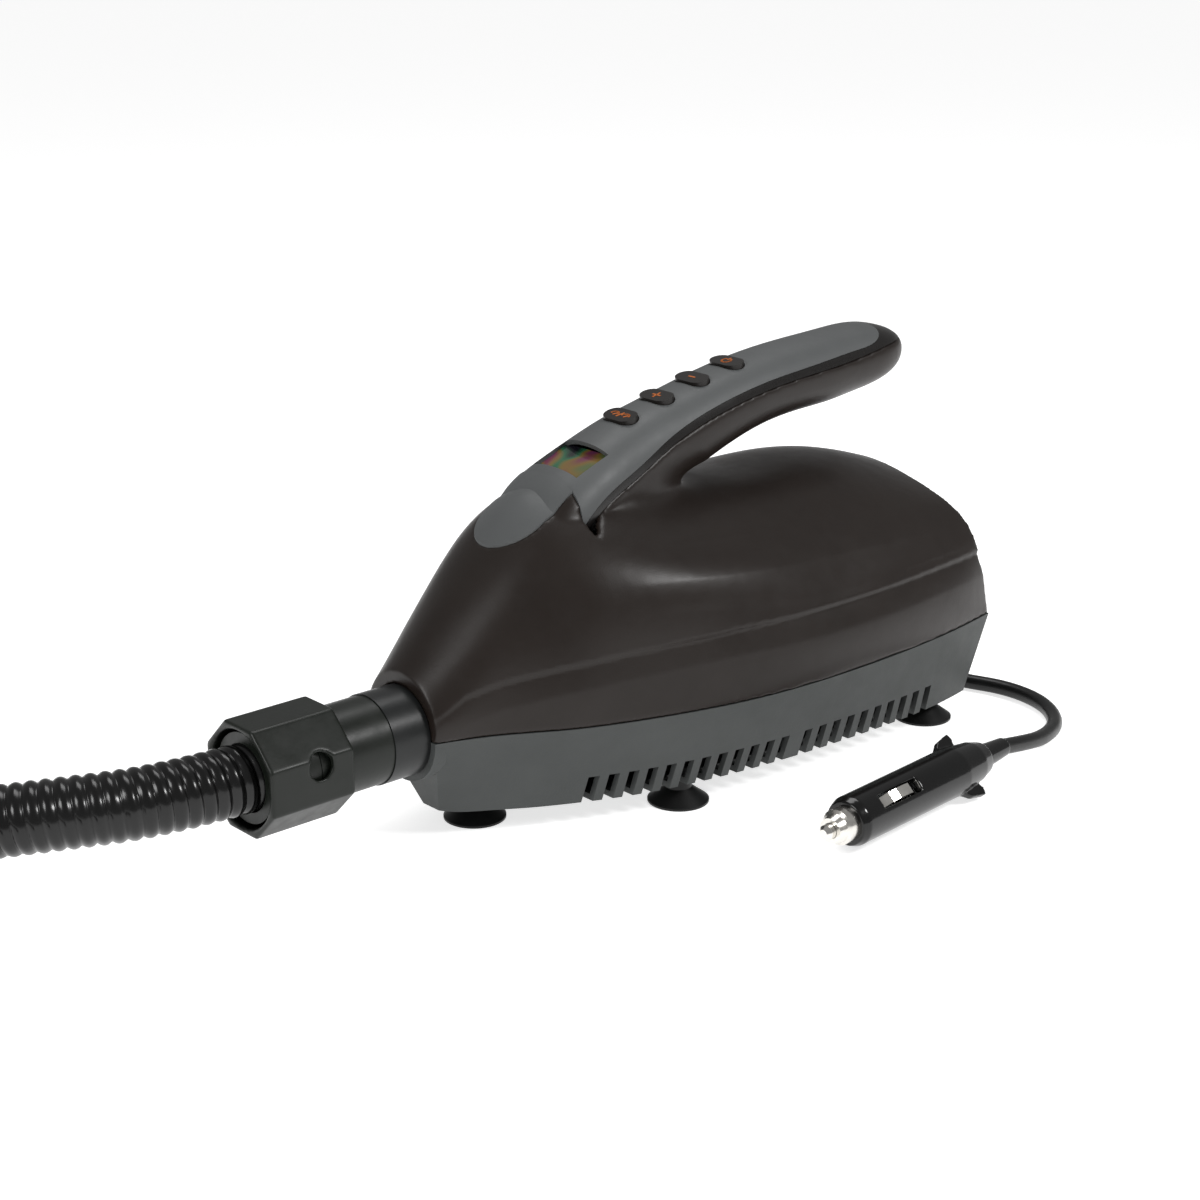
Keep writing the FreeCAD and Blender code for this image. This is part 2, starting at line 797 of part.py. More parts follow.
def make_outlet_port():
    """The tube in the nose that the hose connector plugs into, with a nipple for the compressor."""
    collar = wall + 0.3
    profile = [(port_bore, 0), (port_outer, 0), (port_outer, collar), (port_outer + 1.2, collar),
               (port_outer + 1.2, collar + 3), (port_outer, collar + 3), (port_outer, port_depth),
               (port_bore, port_depth)]
    barrel = turned("port_tube", profile, (front, 0, port_height), "x")
    nipple = rod("port_nipple", cell("air_tube_radius") - 0.6, 8, (front + 30, 0, port_height + port_bore + 1))
    pin_hole = rod("flap_pin_hole", cell("flap_pin_radius") + running_gap, 2 * port_outer,
                   (port_end - 2.2, -port_outer, flap_pivot), "y")
    nipple_hole = rod("nipple_hole", cell("air_tube_radius") - 1.8, 16, (front + 30, 0, port_height + port_bore - 4))
    cut("outlet_port", join("port_body", barrel, nipple), pin_hole, nipple_hole)


def make_check_flap():
    """The flap that shuts the blower's duct, turning on its own trunnions."""
    pin = cell("flap_pin_radius")
    disc = rod("flap_disc", flap_radius, 1.6, (port_end - 1.7, 0, port_height), "x")
    barrel = rod("flap_barrel", pin + 0.9, 8, (port_end - 2.2, -4, flap_pivot), "y")
    relief = block("flap_relief", 3, 12, 6, (port_end - 0.1, -6, flap_pivot - 3))
    hinge = cut("flap_solid", join("flap_leaf", disc, barrel), relief)
    reach = 2 * port_outer - 13
    trunnions = rod("flap_trunnions", pin, reach, (port_end - 2.2, -0.5 * reach, flap_pivot), "y")
    join("check_flap", hinge, trunnions)


def make_outlet_duct():
    """The funnel from the blower's outlet up to the port."""
    rows = []
    back = V(duct_start.value, duct_y.value, duct_z.value)
    ahead = V(port_end.value, 0, port_height.value)
    for grow_back, grow_ahead in ((duct_radius.value, port_outer.value),
                                  (duct_radius.value - duct_wall, flap_radius.value - 1.6)):
        wires = []
        for share in (0.0, 0.5, 1.0):
            ease = share * share * (3 - 2 * share)
            middle = V(back.x + (ahead.x - back.x) * share, back.y + (ahead.y - back.y) * ease,
                       back.z + (ahead.z - back.z) * ease)
            radius = grow_back + (grow_ahead - grow_back) * share
            wires.append(Part.Wire([Part.makeCircle(radius, middle, V(1, 0, 0))]))
        rows.append(Part.makeLoft(wires, True, False))
    feature("outlet_duct", rows[0].cut(rows[1]))


def make_blower():
    """Housing, cover, impeller, shaft and motor of the blower, its axis upright."""
    top = blower_floor + blower_depth
    inner = blower_radius - 2
    shell = rod("blower_drum", blower_radius, blower_depth - 2, (blower_x, blower_y, blower_floor + 2))
    spout = rod("blower_spout", duct_radius, blower_radius + 6, (duct_start, duct_y, duct_z), "x")
    hollow = rod("blower_hollow", inner, blower_depth - 4, (blower_x, blower_y, blower_floor + 1.9))
    throat = rod("blower_throat", duct_radius - duct_wall, blower_radius + 2, (duct_start - 1, duct_y, duct_z), "x")
    hole = rod("blower_shaft_hole", cell("shaft_radius") + 1, 6, (blower_x, blower_y, top - 4))
    cut("blower_housing", join("blower_body", shell, spout), hollow, throat, hole)

    disc = rod("blower_disc", blower_radius, 2, (blower_x, blower_y, blower_floor))
    eye = rod("blower_eye", cell("eye_radius"), 4, (blower_x, blower_y, blower_floor - 1))
    cut("blower_cover", disc, eye)

    can_radius = cell("fan_motor_radius")
    can = turned("fan_can", [(0, 0), (can_radius, 0), (can_radius, cell("fan_motor_length") - 2),
                             (can_radius - 2, cell("fan_motor_length")), (0, cell("fan_motor_length"))],
                 (blower_x, blower_y, top))
    bore = rod("fan_motor_bore", cell("shaft_radius") + running_gap, cell("fan_motor_length") + 2,
               (blower_x, blower_y, top - 1))
    cut("blower_motor", can, bore)
    shaft_low = blower_floor + 8
    rod("blower_shaft", cell("shaft_radius"), blower_depth + cell("fan_motor_length") - 6,
        (blower_x, blower_y, shaft_low))

    radius = cell("impeller_radius")
    back = top - 6
    disc = rod("impeller_disc", radius, 1.6, (blower_x, blower_y, back))
    hub = rod("impeller_hub", 6, back - shaft_low, (blower_x, blower_y, shaft_low))
    blades = []
    count = 9
    for index in range(count):
        turn = Rotation(V(0, 0, 1), 360.0 * index / count)
        sweep = Rotation(V(0, 0, 1), 360.0 * index / count + 35)
        root = turn.multVec(V(12, 0, 0))
        blade = block("impeller_blade_%d" % index, radius - 13.5, 1.4, back - blower_floor - 6,
                      (blower_x + root.x, blower_y + root.y, blower_floor + 6), sweep)
        blades.append(blade)
    hole = rod("impeller_bore", cell("shaft_radius"), blower_depth, (blower_x, blower_y, blower_floor))
    cut("blower_impeller", join("impeller_solid", disc, hub, *blades), hole)


# ---------------------------------------------------------------- compressor
plate_x = cell("plate_x")
plate_thickness = cell("plate_thickness")
crank_z = cell("crank_height")
module = cell("gear_module")
gear_teeth = cell("gear_teeth")
pinion_teeth = cell("pinion_teeth")
gear_centres = 0.5 * module * (gear_teeth + pinion_teeth)
gear_width = cell("gear_width")
gear_x = plate_x - gear_width - 4
crank_radius = cell("crank_radius")
crank_pin_radius = cell("crank_pin_radius")
rod_thickness = cell("rod_thickness")
pin_reach = 2.2
rod_x = gear_x - pin_reach - 0.3 - rod_thickness
piston_radius = cell("piston_radius")
cylinder_radius = cell("cylinder_radius")
cylinder_x = rod_x + 0.5 * rod_thickness
wrist_z = crank_z + crank_radius + cell("rod_length")
cylinder_bottom = crank_z + 0.5 * module * (gear_teeth + 2) + 2
cylinder_top = wrist_z + 0.6 * cell("piston_height") + 2.4
crank_shaft_radius = size(4)
motor_shaft_radius = size(1.6)


def gear_solid(teeth, width, x, y, z, phase):
    """A spur gear with straight-sided teeth, its axis along X."""
    pitch = 0.5 * module.value * teeth
    tip = pitch + 0.8 * module.value
    root = pitch - 1.1 * module.value
    half_step = math.pi / teeth
    corners = []
    for tooth in range(teeth):
        centre = 2 * half_step * tooth + math.radians(phase)
        for radius, share in ((root, -0.62), (tip, -0.22), (tip, 0.22), (root, 0.62)):
            angle = centre + share * half_step
            corners.append(V(x, y + radius * math.cos(angle), z + radius * math.sin(angle)))
    face = Part.Face(Part.makePolygon(corners + corners[:1]))
    return face.extrude(V(width, 0, 0))


def make_compressor_frame():
    """The metal plate that carries the motor, the crank's bush and the cylinder."""
    low = floor_top
    half = cylinder_radius + 1
    corners = [(-gear_centres - 18, low), (half + 8, low), (half + 8, crank_z + 14), (half, crank_z + 20),
               (half, cylinder_top), (-half, cylinder_top), (-half, crank_z + 24), (-gear_centres - 18, crank_z + 14)]
    upright = Rotation(V(0, 1, 0), V(0, 0, 1), V(1, 0, 0), "XYZ")
    sheet_metal = plate("frame_plate", corners, plate_thickness, (plate_x, 0, 0), upright)
    crank_hole = rod("frame_crank_hole", crank_shaft_radius + 2, plate_thickness + 2, (plate_x - 1, 0, crank_z), "x")
    shaft_hole = rod("frame_shaft_hole", motor_shaft_radius + 2, plate_thickness + 2,
                     (plate_x - 1, -gear_centres, crank_z), "x")
    cut("compressor_frame", sheet_metal, crank_hole, shaft_hole)


def make_compressor():
    """Motor, pinion, crank gear, rod, piston, cylinder and head."""
    back = plate_x + plate_thickness
    motor_radius = cell("motor_radius")
    motor_length = cell("motor_length")
    can = turned("motor_can", [(0, 0), (motor_radius, 0), (motor_radius, motor_length - 2),
                               (motor_radius - 2, motor_length), (0, motor_length)],
                 (back, -gear_centres, crank_z), "x")
    bore = rod("motor_bore", motor_shaft_radius + running_gap, motor_length + 2, (back - 1, -gear_centres, crank_z),
               "x")
    cut("compressor_motor", can, bore)

    teeth = feature("pinion_form", gear_solid(int(pinion_teeth.value), gear_width.value + 1, gear_x.value - 0.5,
                                              -gear_centres.value, crank_z.value, 0.0))
    shaft = rod("pinion_shaft", motor_shaft_radius, motor_length + 12, (gear_x - 0.5, -gear_centres, crank_z), "x")
    join("drive_pinion", teeth, shaft)

    half_tooth = 180.0 / gear_teeth.value
    teeth = feature("gear_form", gear_solid(int(gear_teeth.value), gear_width.value, gear_x.value, 0.0,
                                            crank_z.value, half_tooth))
    shaft = rod("gear_shaft", crank_shaft_radius, gear_width + 12, (gear_x, 0, crank_z), "x")
    pin = rod("gear_pin", crank_pin_radius, pin_reach + 1, (gear_x - pin_reach, 0, crank_z + crank_radius), "x")
    join("crank_gear", teeth, shaft, pin)
    turned("crank_bush", [(crank_shaft_radius + running_gap, 0), (crank_shaft_radius + 2, 0),
                          (crank_shaft_radius + 2, plate_thickness), (crank_shaft_radius + 4, plate_thickness),
                          (crank_shaft_radius + 4, plate_thickness + 2),
                          (crank_shaft_radius + running_gap, plate_thickness + 2)], (plate_x, 0, crank_z), "x")

    big = rod("rod_big_end", crank_pin_radius + 3, rod_thickness, (rod_x, 0, crank_z + crank_radius), "x")
    small = rod("rod_small_end", 4.6, rod_thickness, (rod_x, 0, wrist_z), "x")
    beam = block("rod_beam", rod_thickness, 5, cell("rod_length"), (rod_x, -2.5, crank_z + crank_radius))
    eye = rod("rod_eye", crank_pin_radius + 0.2, rod_thickness + 2, (rod_x - 1, 0, crank_z + crank_radius), "x")
    wrist_radius = size(1.8)
    wrist_hole = rod("rod_wrist_hole", wrist_radius, rod_thickness + 2, (rod_x - 1, 0, wrist_z), "x")
    cut("connecting_rod", join("rod_solid", big, small, beam), eye, wrist_hole)
    reach = piston_radius - 2
    rod("wrist_pin", wrist_radius, 2 * reach, (cylinder_x - reach, 0, wrist_z), "x")

    skirt = wrist_z - 0.4 * cell("piston_height")
    body = rod("piston_solid", piston_radius, cell("piston_height"), (cylinder_x, 0, skirt))
    pocket = block("piston_pocket", rod_thickness + 1, 14, 0.4 * cell("piston_height") + 5.2,
                   (rod_x - 0.5, -7, skirt - 0.1))
    hole = rod("piston_wrist_hole", wrist_radius + running_gap, 2 * reach + 0.4,
               (cylinder_x - reach - 0.2, 0, wrist_z), "x")
    cut("piston", body, pocket, hole)

    tall = cylinder_top - cylinder_bottom
    barrel = rod("cylinder_barrel", cylinder_radius, tall, (cylinder_x, 0, cylinder_bottom))
    side = cylinder_radius + 1
    lug = block("cylinder_lug", plate_x - cylinder_x, 2 * side, 8, (cylinder_x, -side, cylinder_top - 14))
    bore = rod("cylinder_bore", piston_radius + running_gap, tall + 2, (cylinder_x, 0, cylinder_bottom - 1))
    cut("cylinder", join("cylinder_solid", barrel, lug), bore)
    cap = rod("head_cap", cylinder_radius, 6, (cylinder_x, 0, cylinder_top))
    spout = rod("head_spout", cell("air_tube_radius") - 0.6, cylinder_radius + 6,
                (cylinder_x - cylinder_radius - 6, 0, cylinder_top + 3), "x")
    join("cylinder_head", cap, spout)


# ---------------------------------------------------------------- electronics in the housing
def make_control_board():
    """The main board beside the blower's motor with its soldered parts, and the pressure sensor."""
    board_y = blower_y + cell("fan_motor_radius") + 22
    low = blower_floor + blower_depth + 6
    thick = cell("board_thickness")
    front_face = board_y + thick - 0.2
    laminate = block("board_laminate", 62, thick, 40, (blower_x - 26, board_y, low))
    relays = [block("relay_%d" % index, 15, 11, 15, (blower_x - 22 + 20 * index, front_face, low + 4))
              for index in range(2)]
    capacitor = rod("capacitor", 5, 14, (blower_x + 22, front_face, low + 12), "y")
    socket = block("board_socket", 20, 6, 8, (blower_x - 20, front_face, low + 27))
    join("control_board", laminate, *relays, capacitor, socket)
    chip = block("sensor_chip", 12, 5, 10, (blower_x + 8, board_y - 5, low + 18))
    nose = rod("sensor_nose", 1.8, 7, (blower_x + 14, board_y - 12, low + 23), "y")
    join("pressure_sensor", chip, nose)


# ---------------------------------------------------------------- hose connector
sleeve_radius = cell("sleeve_radius")
sleeve_length = cell("sleeve_length")
collar_length = cell("collar_length")
nut_length = cell("nut_length")
nut_across = cell("nut_across")
nut_mouth = cell("nut_mouth")
hose_radius = cell("hose_radius")
hose_bore = cell("hose_bore")
collar_end = front - collar_length
nut_overlap = 1.0
nut_start = collar_end + nut_overlap
nut_end = nut_start - nut_length
cuff_end = nut_end + 2.6
hose_start = collar_end - 12


def make_connector():
    """The sleeve that plugs into the port, the collar behind it, the nut and the hose's cuff."""
    spigot = 14.0
    profile = [(hose_bore, -spigot), (port_bore - fit_gap, -spigot), (port_bore - fit_gap, -8),
               (port_bore - 1.8, -8), (port_bore - 1.8, -5), (port_bore - fit_gap, -5), (port_bore - fit_gap, 0),
               (sleeve_radius, 0), (sleeve_radius, sleeve_length), (hose_bore, sleeve_length)]
    outward = Rotation(V(0, 1, 0), -90)
    axis_point = (front, 0, port_height)
    turned("connector_sleeve", profile, axis_point, turn=outward)
    turned("port_seal", [(port_bore - 1.8, -7.7), (port_bore - 0.2, -7.7), (port_bore - 0.05, -6.5),
                         (port_bore - 0.2, -5.3), (port_bore - 1.8, -5.3)], axis_point, turn=outward)
    lip = collar_length + 5
    profile = [(hose_bore, sleeve_length), (sleeve_radius - 0.5, sleeve_length), (sleeve_radius - 0.5, lip - 1.5),
               (sleeve_radius + 0.6, lip - 1.5), (sleeve_radius + 0.6, lip + 7), (hose_bore, lip + 7)]
    turned("connector_collar", profile, axis_point, turn=outward)

    corner_radius = 0.5 / math.cos(math.pi / 8) * nut_across
    corners = []
    for step in range(8):
        angle = math.pi / 8 + step * math.pi / 4
        corners.append((corner_radius * math.cos(angle), corner_radius * math.sin(angle)))
    upright = Rotation(V(0, 1, 0), V(0, 0, 1), V(1, 0, 0), "XYZ")
    octagon = plate("nut_octagon", corners, nut_length, (nut_end, 0, port_height), upright)
    mouth = rod("nut_bore", nut_mouth, nut_length - 4 + 1, (nut_end - 1, 0, port_height), "x")
    throat = rod("nut_throat", sleeve_radius, nut_length + 2, (nut_end - 1, 0, port_height), "x")
    window = rod("nut_window", 5.4, nut_across, (nut_start - 15, 0, port_height), turn=Rotation(V(1, 0, 0), 75))
    cut("coupling_nut", octagon, mouth, throat, window)

    start = lip + 7.3
    finish = front - cuff_end
    turned("hose_cuff", [(hose_radius, start), (nut_mouth - 0.5, start), (nut_mouth - 0.5, start + 8),
                         (nut_mouth - 1.6, start + 8), (nut_mouth - 1.6, finish), (hose_radius, finish)],
           axis_point, turn=outward)


# ---------------------------------------------------------------- cords
def tube(label, points, radius):
    """A round cord along straight runs joined by tangent arcs as large as the runs allow."""
    spots = [V(*point) for point in points]
    runs = [(b - a).Length for a, b in zip(spots, spots[1:])]
    edges = []
    radii = []
    start = spots[0]
    for index in range(1, len(spots) - 1):
        back = (spots[index - 1] - spots[index]).normalize()
        ahead = (spots[index + 1] - spots[index]).normalize()
        reach = 0.45 * min(runs[index - 1], runs[index])
        turn = math.pi - back.getAngle(ahead)
        radii.append(reach / math.tan(turn / 2))
        first = spots[index] + back * reach
        last = spots[index] + ahead * reach
        inward = (back + ahead).normalize()
        sagitta = radii[-1] * (1 / math.cos(turn / 2) - 1)
        edges.append(Part.LineSegment(start, first).toShape())
        edges.append(Part.Arc(first, spots[index] + inward * sagitta, last).toShape())
        start = last
    edges.append(Part.LineSegment(start, spots[-1]).toShape())
    path = Part.Wire(edges)
    section = Part.Wire([Part.makeCircle(radius, spots[0], spots[1] - spots[0])])
    shell = Part.BRepOffsetAPI.MakePipeShell(path)
    shell.add(section)
    shell.build()
    shell.makeSolid()
    solid = shell.shape()
    share = solid.Volume / (math.pi * radius ** 2 * path.Length)
    print("%s: length %.0f, volume ratio %.4f, radii %s" %
          (label, path.Length, share, " ".join("%.0f" % value for value in radii)))
    return feature(label, solid)


FLOOR_CLEARANCE = 0.3
hose_z = hose_radius.value + FLOOR_CLEARANCE
HOSE_RING_RADIUS = 112.0
HOSE_RING_CENTRE = (-268.3, 18.0)
HOSE_RING_STEP = 28.0
HOSE_CURL = [0, 0, 0, 0, 0, 0, 0, 3, 9]


def hose_route():
    """From the cuff down to the floor at the left, then part of the way round a ring."""
    start_x = hose_start.value
    axis_z = port_height.value
    points = [(start_x, 0, axis_z), (start_x - 51, 0, axis_z), (start_x - 96, 22, 47), (start_x - 132, 56, 40),
              (start_x - 168, 94, 27)]
    for step, curl in enumerate(HOSE_CURL):
        angle = math.radians(60 + HOSE_RING_STEP * step)
        radius = HOSE_RING_RADIUS - curl
        points.append((start_x + HOSE_RING_CENTRE[0] + radius * math.cos(angle),
                       HOSE_RING_CENTRE[1] + radius * math.sin(angle), hose_z))
    first = len(points) - len(HOSE_CURL)
    points[first] = (points[first][0], points[first][1], hose_z + 2)
    points[-1] = (points[-1][0], points[-1][1], hose_z + 2.2)
    return points


def make_hose():
    """The hose with the nozzle on its free end."""
    route = hose_route()
    tube("air_hose", route, hose_radius.value)
    end = V(*route[-1])
    heading = (end - V(*route[-2])).normalize()
    turn = Rotation(V(0, 0, 1), heading)
    at = (end.x, end.y, end.z)
    grip = hose_radius + 2.0
    nozzle_radius = cell("nozzle_radius")
    turned("hose_nozzle", [(hose_bore, 0), (grip - 1, 0), (grip, 1), (grip, 25), (grip - 1.5, 27), (grip - 2.5, 31),
                           (nozzle_radius + 1.4, 31), (nozzle_radius, 46), (nozzle_radius, 58), (nozzle_radius - 2.4, 58),
                           (nozzle_radius - 2.4, 24), (hose_bore, 24)], at, turn=turn)


cable_radius = cell("cable_radius")
coil_middle = cell("coil_middle")
COIL_X = 72.0
COIL_Y = 130.0
COIL_TURNS_WIDE = 3
COIL_TURNS_HIGH = 3
cable_z = cable_radius.value + 0.2
TIE_THICKNESS = 0.8
COIL_LIFT = 1.0
PLUG_TIP = (-33.0, -127.5)
PLUG_TAIL = (91.0, -116.5)
LEAN_BELOW = 11.37
gland_turn = Rotation(V(0, 1, 0), 90 + LEAN_BELOW)
plug_radius = cell("plug_radius")
plug_height = cell("plug_height")
plug_pin_radius = cell("plug_pin_radius")
plug_ring_radius = cell("plug_ring_radius")


def make_gland():
    """The moulded strain relief, square to the leaning transom."""
    neck = cell("gland_radius") - 1.1
    length = cell("gland_length")
    profile = [(0, -6), (neck + 2, -6), (neck + 2, -4), (neck, -4), (neck, 0), (neck + 2.4, 0), (neck + 2.4, 2.4),
               (neck + 0.4, 2.4), (cable_radius + 0.9, length), (0, length)]
    drop = (seam_height - gland_z) * 0.2
    return turned("cable_gland", profile, (rear - drop, gland_y, gland_z), turn=gland_turn)


def make_cable():
    """The 12 V lead: up to its coil behind the housing, and from the coil to the plug."""
    length = cell("gland_length").value
    drop = (seam_height.value - gland_z.value) * 0.2
    start = V(rear.value - drop, gland_y.value, gland_z.value) + gland_turn.multVec(V(0, 0, length))
    coil_z = COIL_LIFT + cable_radius.value + 0.2
    entry = (COIL_X + 26, COIL_Y + coil_middle.value - 7, coil_z + 14)
    leave = (COIL_X + 14, COIL_Y - coil_middle.value - 4, coil_z)
    near = [(start.x, start.y, start.z), (183, 23.5, 15), (200.5, 35, 8.5), (210.5, 53, 4.2), (211, 76, cable_z),
            (203.5, 99, cable_z), (188, 119, cable_z), (167, 135, 6), (143, 147, 11), (119, 156.5, 15.5), entry]
    tube("power_cable_near", near, cable_radius.value)
    far = [leave, (121, 84, cable_z), (141.5, 73.5, cable_z), (153.5, 53, cable_z), (155.5, 30, cable_z),
           (152.5, 9, cable_z), (153.5, -14, cable_z), (158, -36, cable_z), (167, -58.5, cable_z),
           (163.7, -82.3, cable_z), (149, -101.2, cable_z), (127.5, -110.8, 5.5), (108, -115, 9.3),
           (PLUG_TAIL[0], PLUG_TAIL[1], plug_height.value)]
    tube("power_cable_far", far, cable_radius.value)
    inner = coil_middle - COIL_TURNS_WIDE * cable_radius
    outer = coil_middle + COIL_TURNS_WIDE * cable_radius
    tall = 2 * COIL_TURNS_HIGH * cable_radius
    turned("power_cable_coil", [(inner, 0), (outer, 0), (outer, tall), (inner, tall)], (COIL_X, COIL_Y, COIL_LIFT))
    band = TIE_THICKNESS
    width = 9
    around = block("tie_outer", outer - inner + 2 * band + 0.9, width, tall + 2 * band,
                   (COIL_X - outer - band - 0.2, COIL_Y - 0.5 * width, COIL_LIFT - band))
    hollow = block("tie_inner", outer - inner + 0.9, width + 2, tall + 0.2,
                   (COIL_X - outer - 0.2, COIL_Y - 0.5 * width - 1, COIL_LIFT - 0.1))
    cut("cable_tie", around, hollow)


# ---------------------------------------------------------------- plug
plug_heading = V(PLUG_TAIL[0] - PLUG_TIP[0], PLUG_TAIL[1] - PLUG_TIP[1], 0).normalize()
PLUG_ROLL = -40.0
plug_turn = Rotation(V(0, 0, 1), plug_heading)
plug_roll = Rotation(plug_heading, PLUG_ROLL)
plug_at = (PLUG_TIP[0], PLUG_TIP[1], plug_height)
PLUG_FULL = math.hypot(PLUG_TAIL[0] - PLUG_TIP[0], PLUG_TAIL[1] - PLUG_TIP[1])
PLUG_BORE = 5.2


def plug_spot(shape):
    """Put a solid drawn along Z from the plug's tip in its place on the floor."""
    placed = shape.copy()
    placed.Placement = FreeCAD.Placement(V(plug_at[0], plug_at[1], plug_height.value), plug_roll * plug_turn)
    return placed


def make_plug():
    """A 12 V lighter plug: shell with grip wings, boot, nose ring, pin, fuse, spring and contacts."""
    radius = plug_radius
    shell_end = 107.0
    profile = [(0, 14), (radius - 1.4, 14), (radius, 17.5), (radius, 86), (radius - 1.6, 100),
               (radius - 3.4, shell_end), (5.6, shell_end), (5.0, shell_end + 6), (cable_radius + 0.6, PLUG_FULL),
               (0, PLUG_FULL)]
    form = turned("plug_form", profile, plug_at, turn=plug_roll * plug_turn)
    wing = Part.makePolygon([V(0, -1.6, 70), V(13.5, -1.6, 88), V(15, -1.6, 96), V(12, -1.6, 97), V(0, -1.6, 90),
                             V(0, -1.6, 70)])
    wings = [plug_spot(Part.Face(wing).extrude(V(0, 3.2, 0)))]
    other = wing.mirror(V(0, 0, 0), V(1, 0, 0))
    wings.append(plug_spot(Part.Face(other).extrude(V(0, 3.2, 0))))
    wing_features = [feature("plug_wing_%d" % index, shape) for index, shape in enumerate(wings)]
    bore = feature("plug_bore", plug_spot(Part.makeCylinder(PLUG_BORE, 45, V(0, 0, 13))))
    slots = []
    for index, side in enumerate((-1, 1)):
        low = min(side * 4, side * 14)
        slots.append(feature("plug_slot_%d" % index, plug_spot(Part.makeBox(6, 10, 25, V(-3, low, 28)))))
    cut("plug_body", join("plug_solid", form, *wing_features), bore, *slots)
    turned("plug_ring", [(plug_pin_radius + 0.15, 4.4), (plug_ring_radius - 2.2, 4.4), (plug_ring_radius - 1.2, 8),
                         (plug_ring_radius, 9), (plug_ring_radius, 14), (PLUG_BORE, 14), (PLUG_BORE, 8.4),
                         (plug_pin_radius + 0.15, 8.4)], plug_at, turn=plug_turn)
    turned("plug_pin", [(0, 0), (1.9, 0), (plug_pin_radius, 1.6), (plug_pin_radius, 9), (PLUG_BORE - 0.5, 9),
                        (PLUG_BORE - 0.5, 11), (0, 11)], plug_at, turn=plug_turn)
    turned("plug_fuse", [(0, 11), (3.1, 11), (3.1, 41), (0, 41)], plug_at, turn=plug_turn)
    helix = Part.makeHelix(3.1, 15.5, 3.4)
    helix.translate(V(0, 0, 41.8))
    wire_end = Part.Wire([Part.makeCircle(0.5, V(3.4, 0, 41.8), V(0, 1, 0))])
    spring = Part.Wire(helix.Edges).makePipeShell([wire_end], True, True)
    feature("plug_spring", plug_spot(spring))
    for label, side in (("plug_contact_left", 1), ("plug_contact_right", -1)):
        corners = [V(-2.2, side * 6.6, 30), V(-2.2, side * 10.6, 34), V(-2.2, side * 11.6, 38),
                   V(-2.2, side * 11.6, 43), V(-2.2, side * 10.6, 47), V(-2.2, side * 6.6, 51),
                   V(-2.2, side * 6.6, 30)]
        feature(label, plug_spot(Part.Face(Part.makePolygon(corners)).extrude(V(4.4, 0, 0))))


# ---------------------------------------------------------------- inner air line
def make_air_tube():
    """The small tube from the compressor's head over the blower to the port's nipple."""
    head_x = (cylinder_x - cylinder_radius - 6).value
    head_z = (cylinder_top + 3).value
    nipple_x = front.value + 30
    nipple_z = (port_height + port_bore + 9).value
    middle = 0.5 * (head_x + nipple_x)
    points = [(head_x, 0, head_z), (head_x - 24, 5, head_z + 1), (middle + 18, 11, head_z + 1.5),
              (middle - 10, 11, head_z + 1.5), (nipple_x + 38, 5, nipple_z + 28.5), (nipple_x + 18, 1, nipple_z + 30),
              (nipple_x + 6, 0, nipple_z + 24), (nipple_x, 0, nipple_z + 13), (nipple_x, 0, nipple_z)]
    tube("air_tube", points, cell("air_tube_radius").value)


NODES = ["lower_shell", "upper_shell", "handle_rim", "handle_panel", "panel_tongue", "display_lens",
         "display_module", "power_button", "minus_button", "plus_button", "units_button", "button_membrane",
         "tact_switches", "button_board", "control_board", "pressure_sensor", "case_screws",
         "foot_front", "foot_middle_left", "foot_middle_right", "foot_rear_left", "foot_rear_right",
         "outlet_port", "port_seal", "check_flap", "outlet_duct", "blower_housing", "blower_cover",
         "blower_impeller", "blower_shaft", "blower_motor", "compressor_frame", "compressor_motor",
         "drive_pinion", "crank_gear", "crank_bush", "connecting_rod", "wrist_pin", "piston",
         "cylinder", "cylinder_head", "air_tube", "connector_sleeve", "connector_collar", "coupling_nut",
         "hose_cuff", "air_hose", "hose_nozzle", "cable_gland", "power_cable_near",
         "power_cable_coil", "power_cable_far", "cable_tie", "plug_body", "plug_ring", "plug_pin",
         "plug_fuse", "plug_spring", "plug_contact_left", "plug_contact_right"]


def check(nodes):
    """Stop if any object failed or any node has no sound solid."""
    for item in doc.Objects:
        for word in ("Invalid", "Error"):
            if word in item.State:
                raise RuntimeError("%s is %s" % (item.Label, word))
    for name in nodes:
        shape = doc.getObject(name).Shape
        if shape.isNull() or not shape.isValid() or not shape.Solids:
            raise RuntimeError("%s has no sound solid" % name)


def main():
    """Build every piece, check it and write it."""
    make_lower_shell()
    make_upper_shell()
    make_handle_rim()
    make_handle_panel()
    make_buttons()
    feature("panel_tongue", tongue_shape(0))
    make_display()
    make_button_electronics()
    for label, distance, share in FEET:
        make_foot(label, distance, share)
    make_case_screws()
    make_outlet_port()
    make_check_flap()
    make_outlet_duct()
    make_blower()
    make_compressor_frame()
    make_compressor()
    make_control_board()
    make_connector()
    make_hose()
    make_gland()
    make_cable()
    make_plug()
    make_air_tube()
    doc.recompute()
    check(NODES)
    os.makedirs("parts", exist_ok=True)
    for name in NODES:
        doc.getObject(name).Shape.exportStep("parts/%s.step" % name)


main()
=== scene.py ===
import json
import math

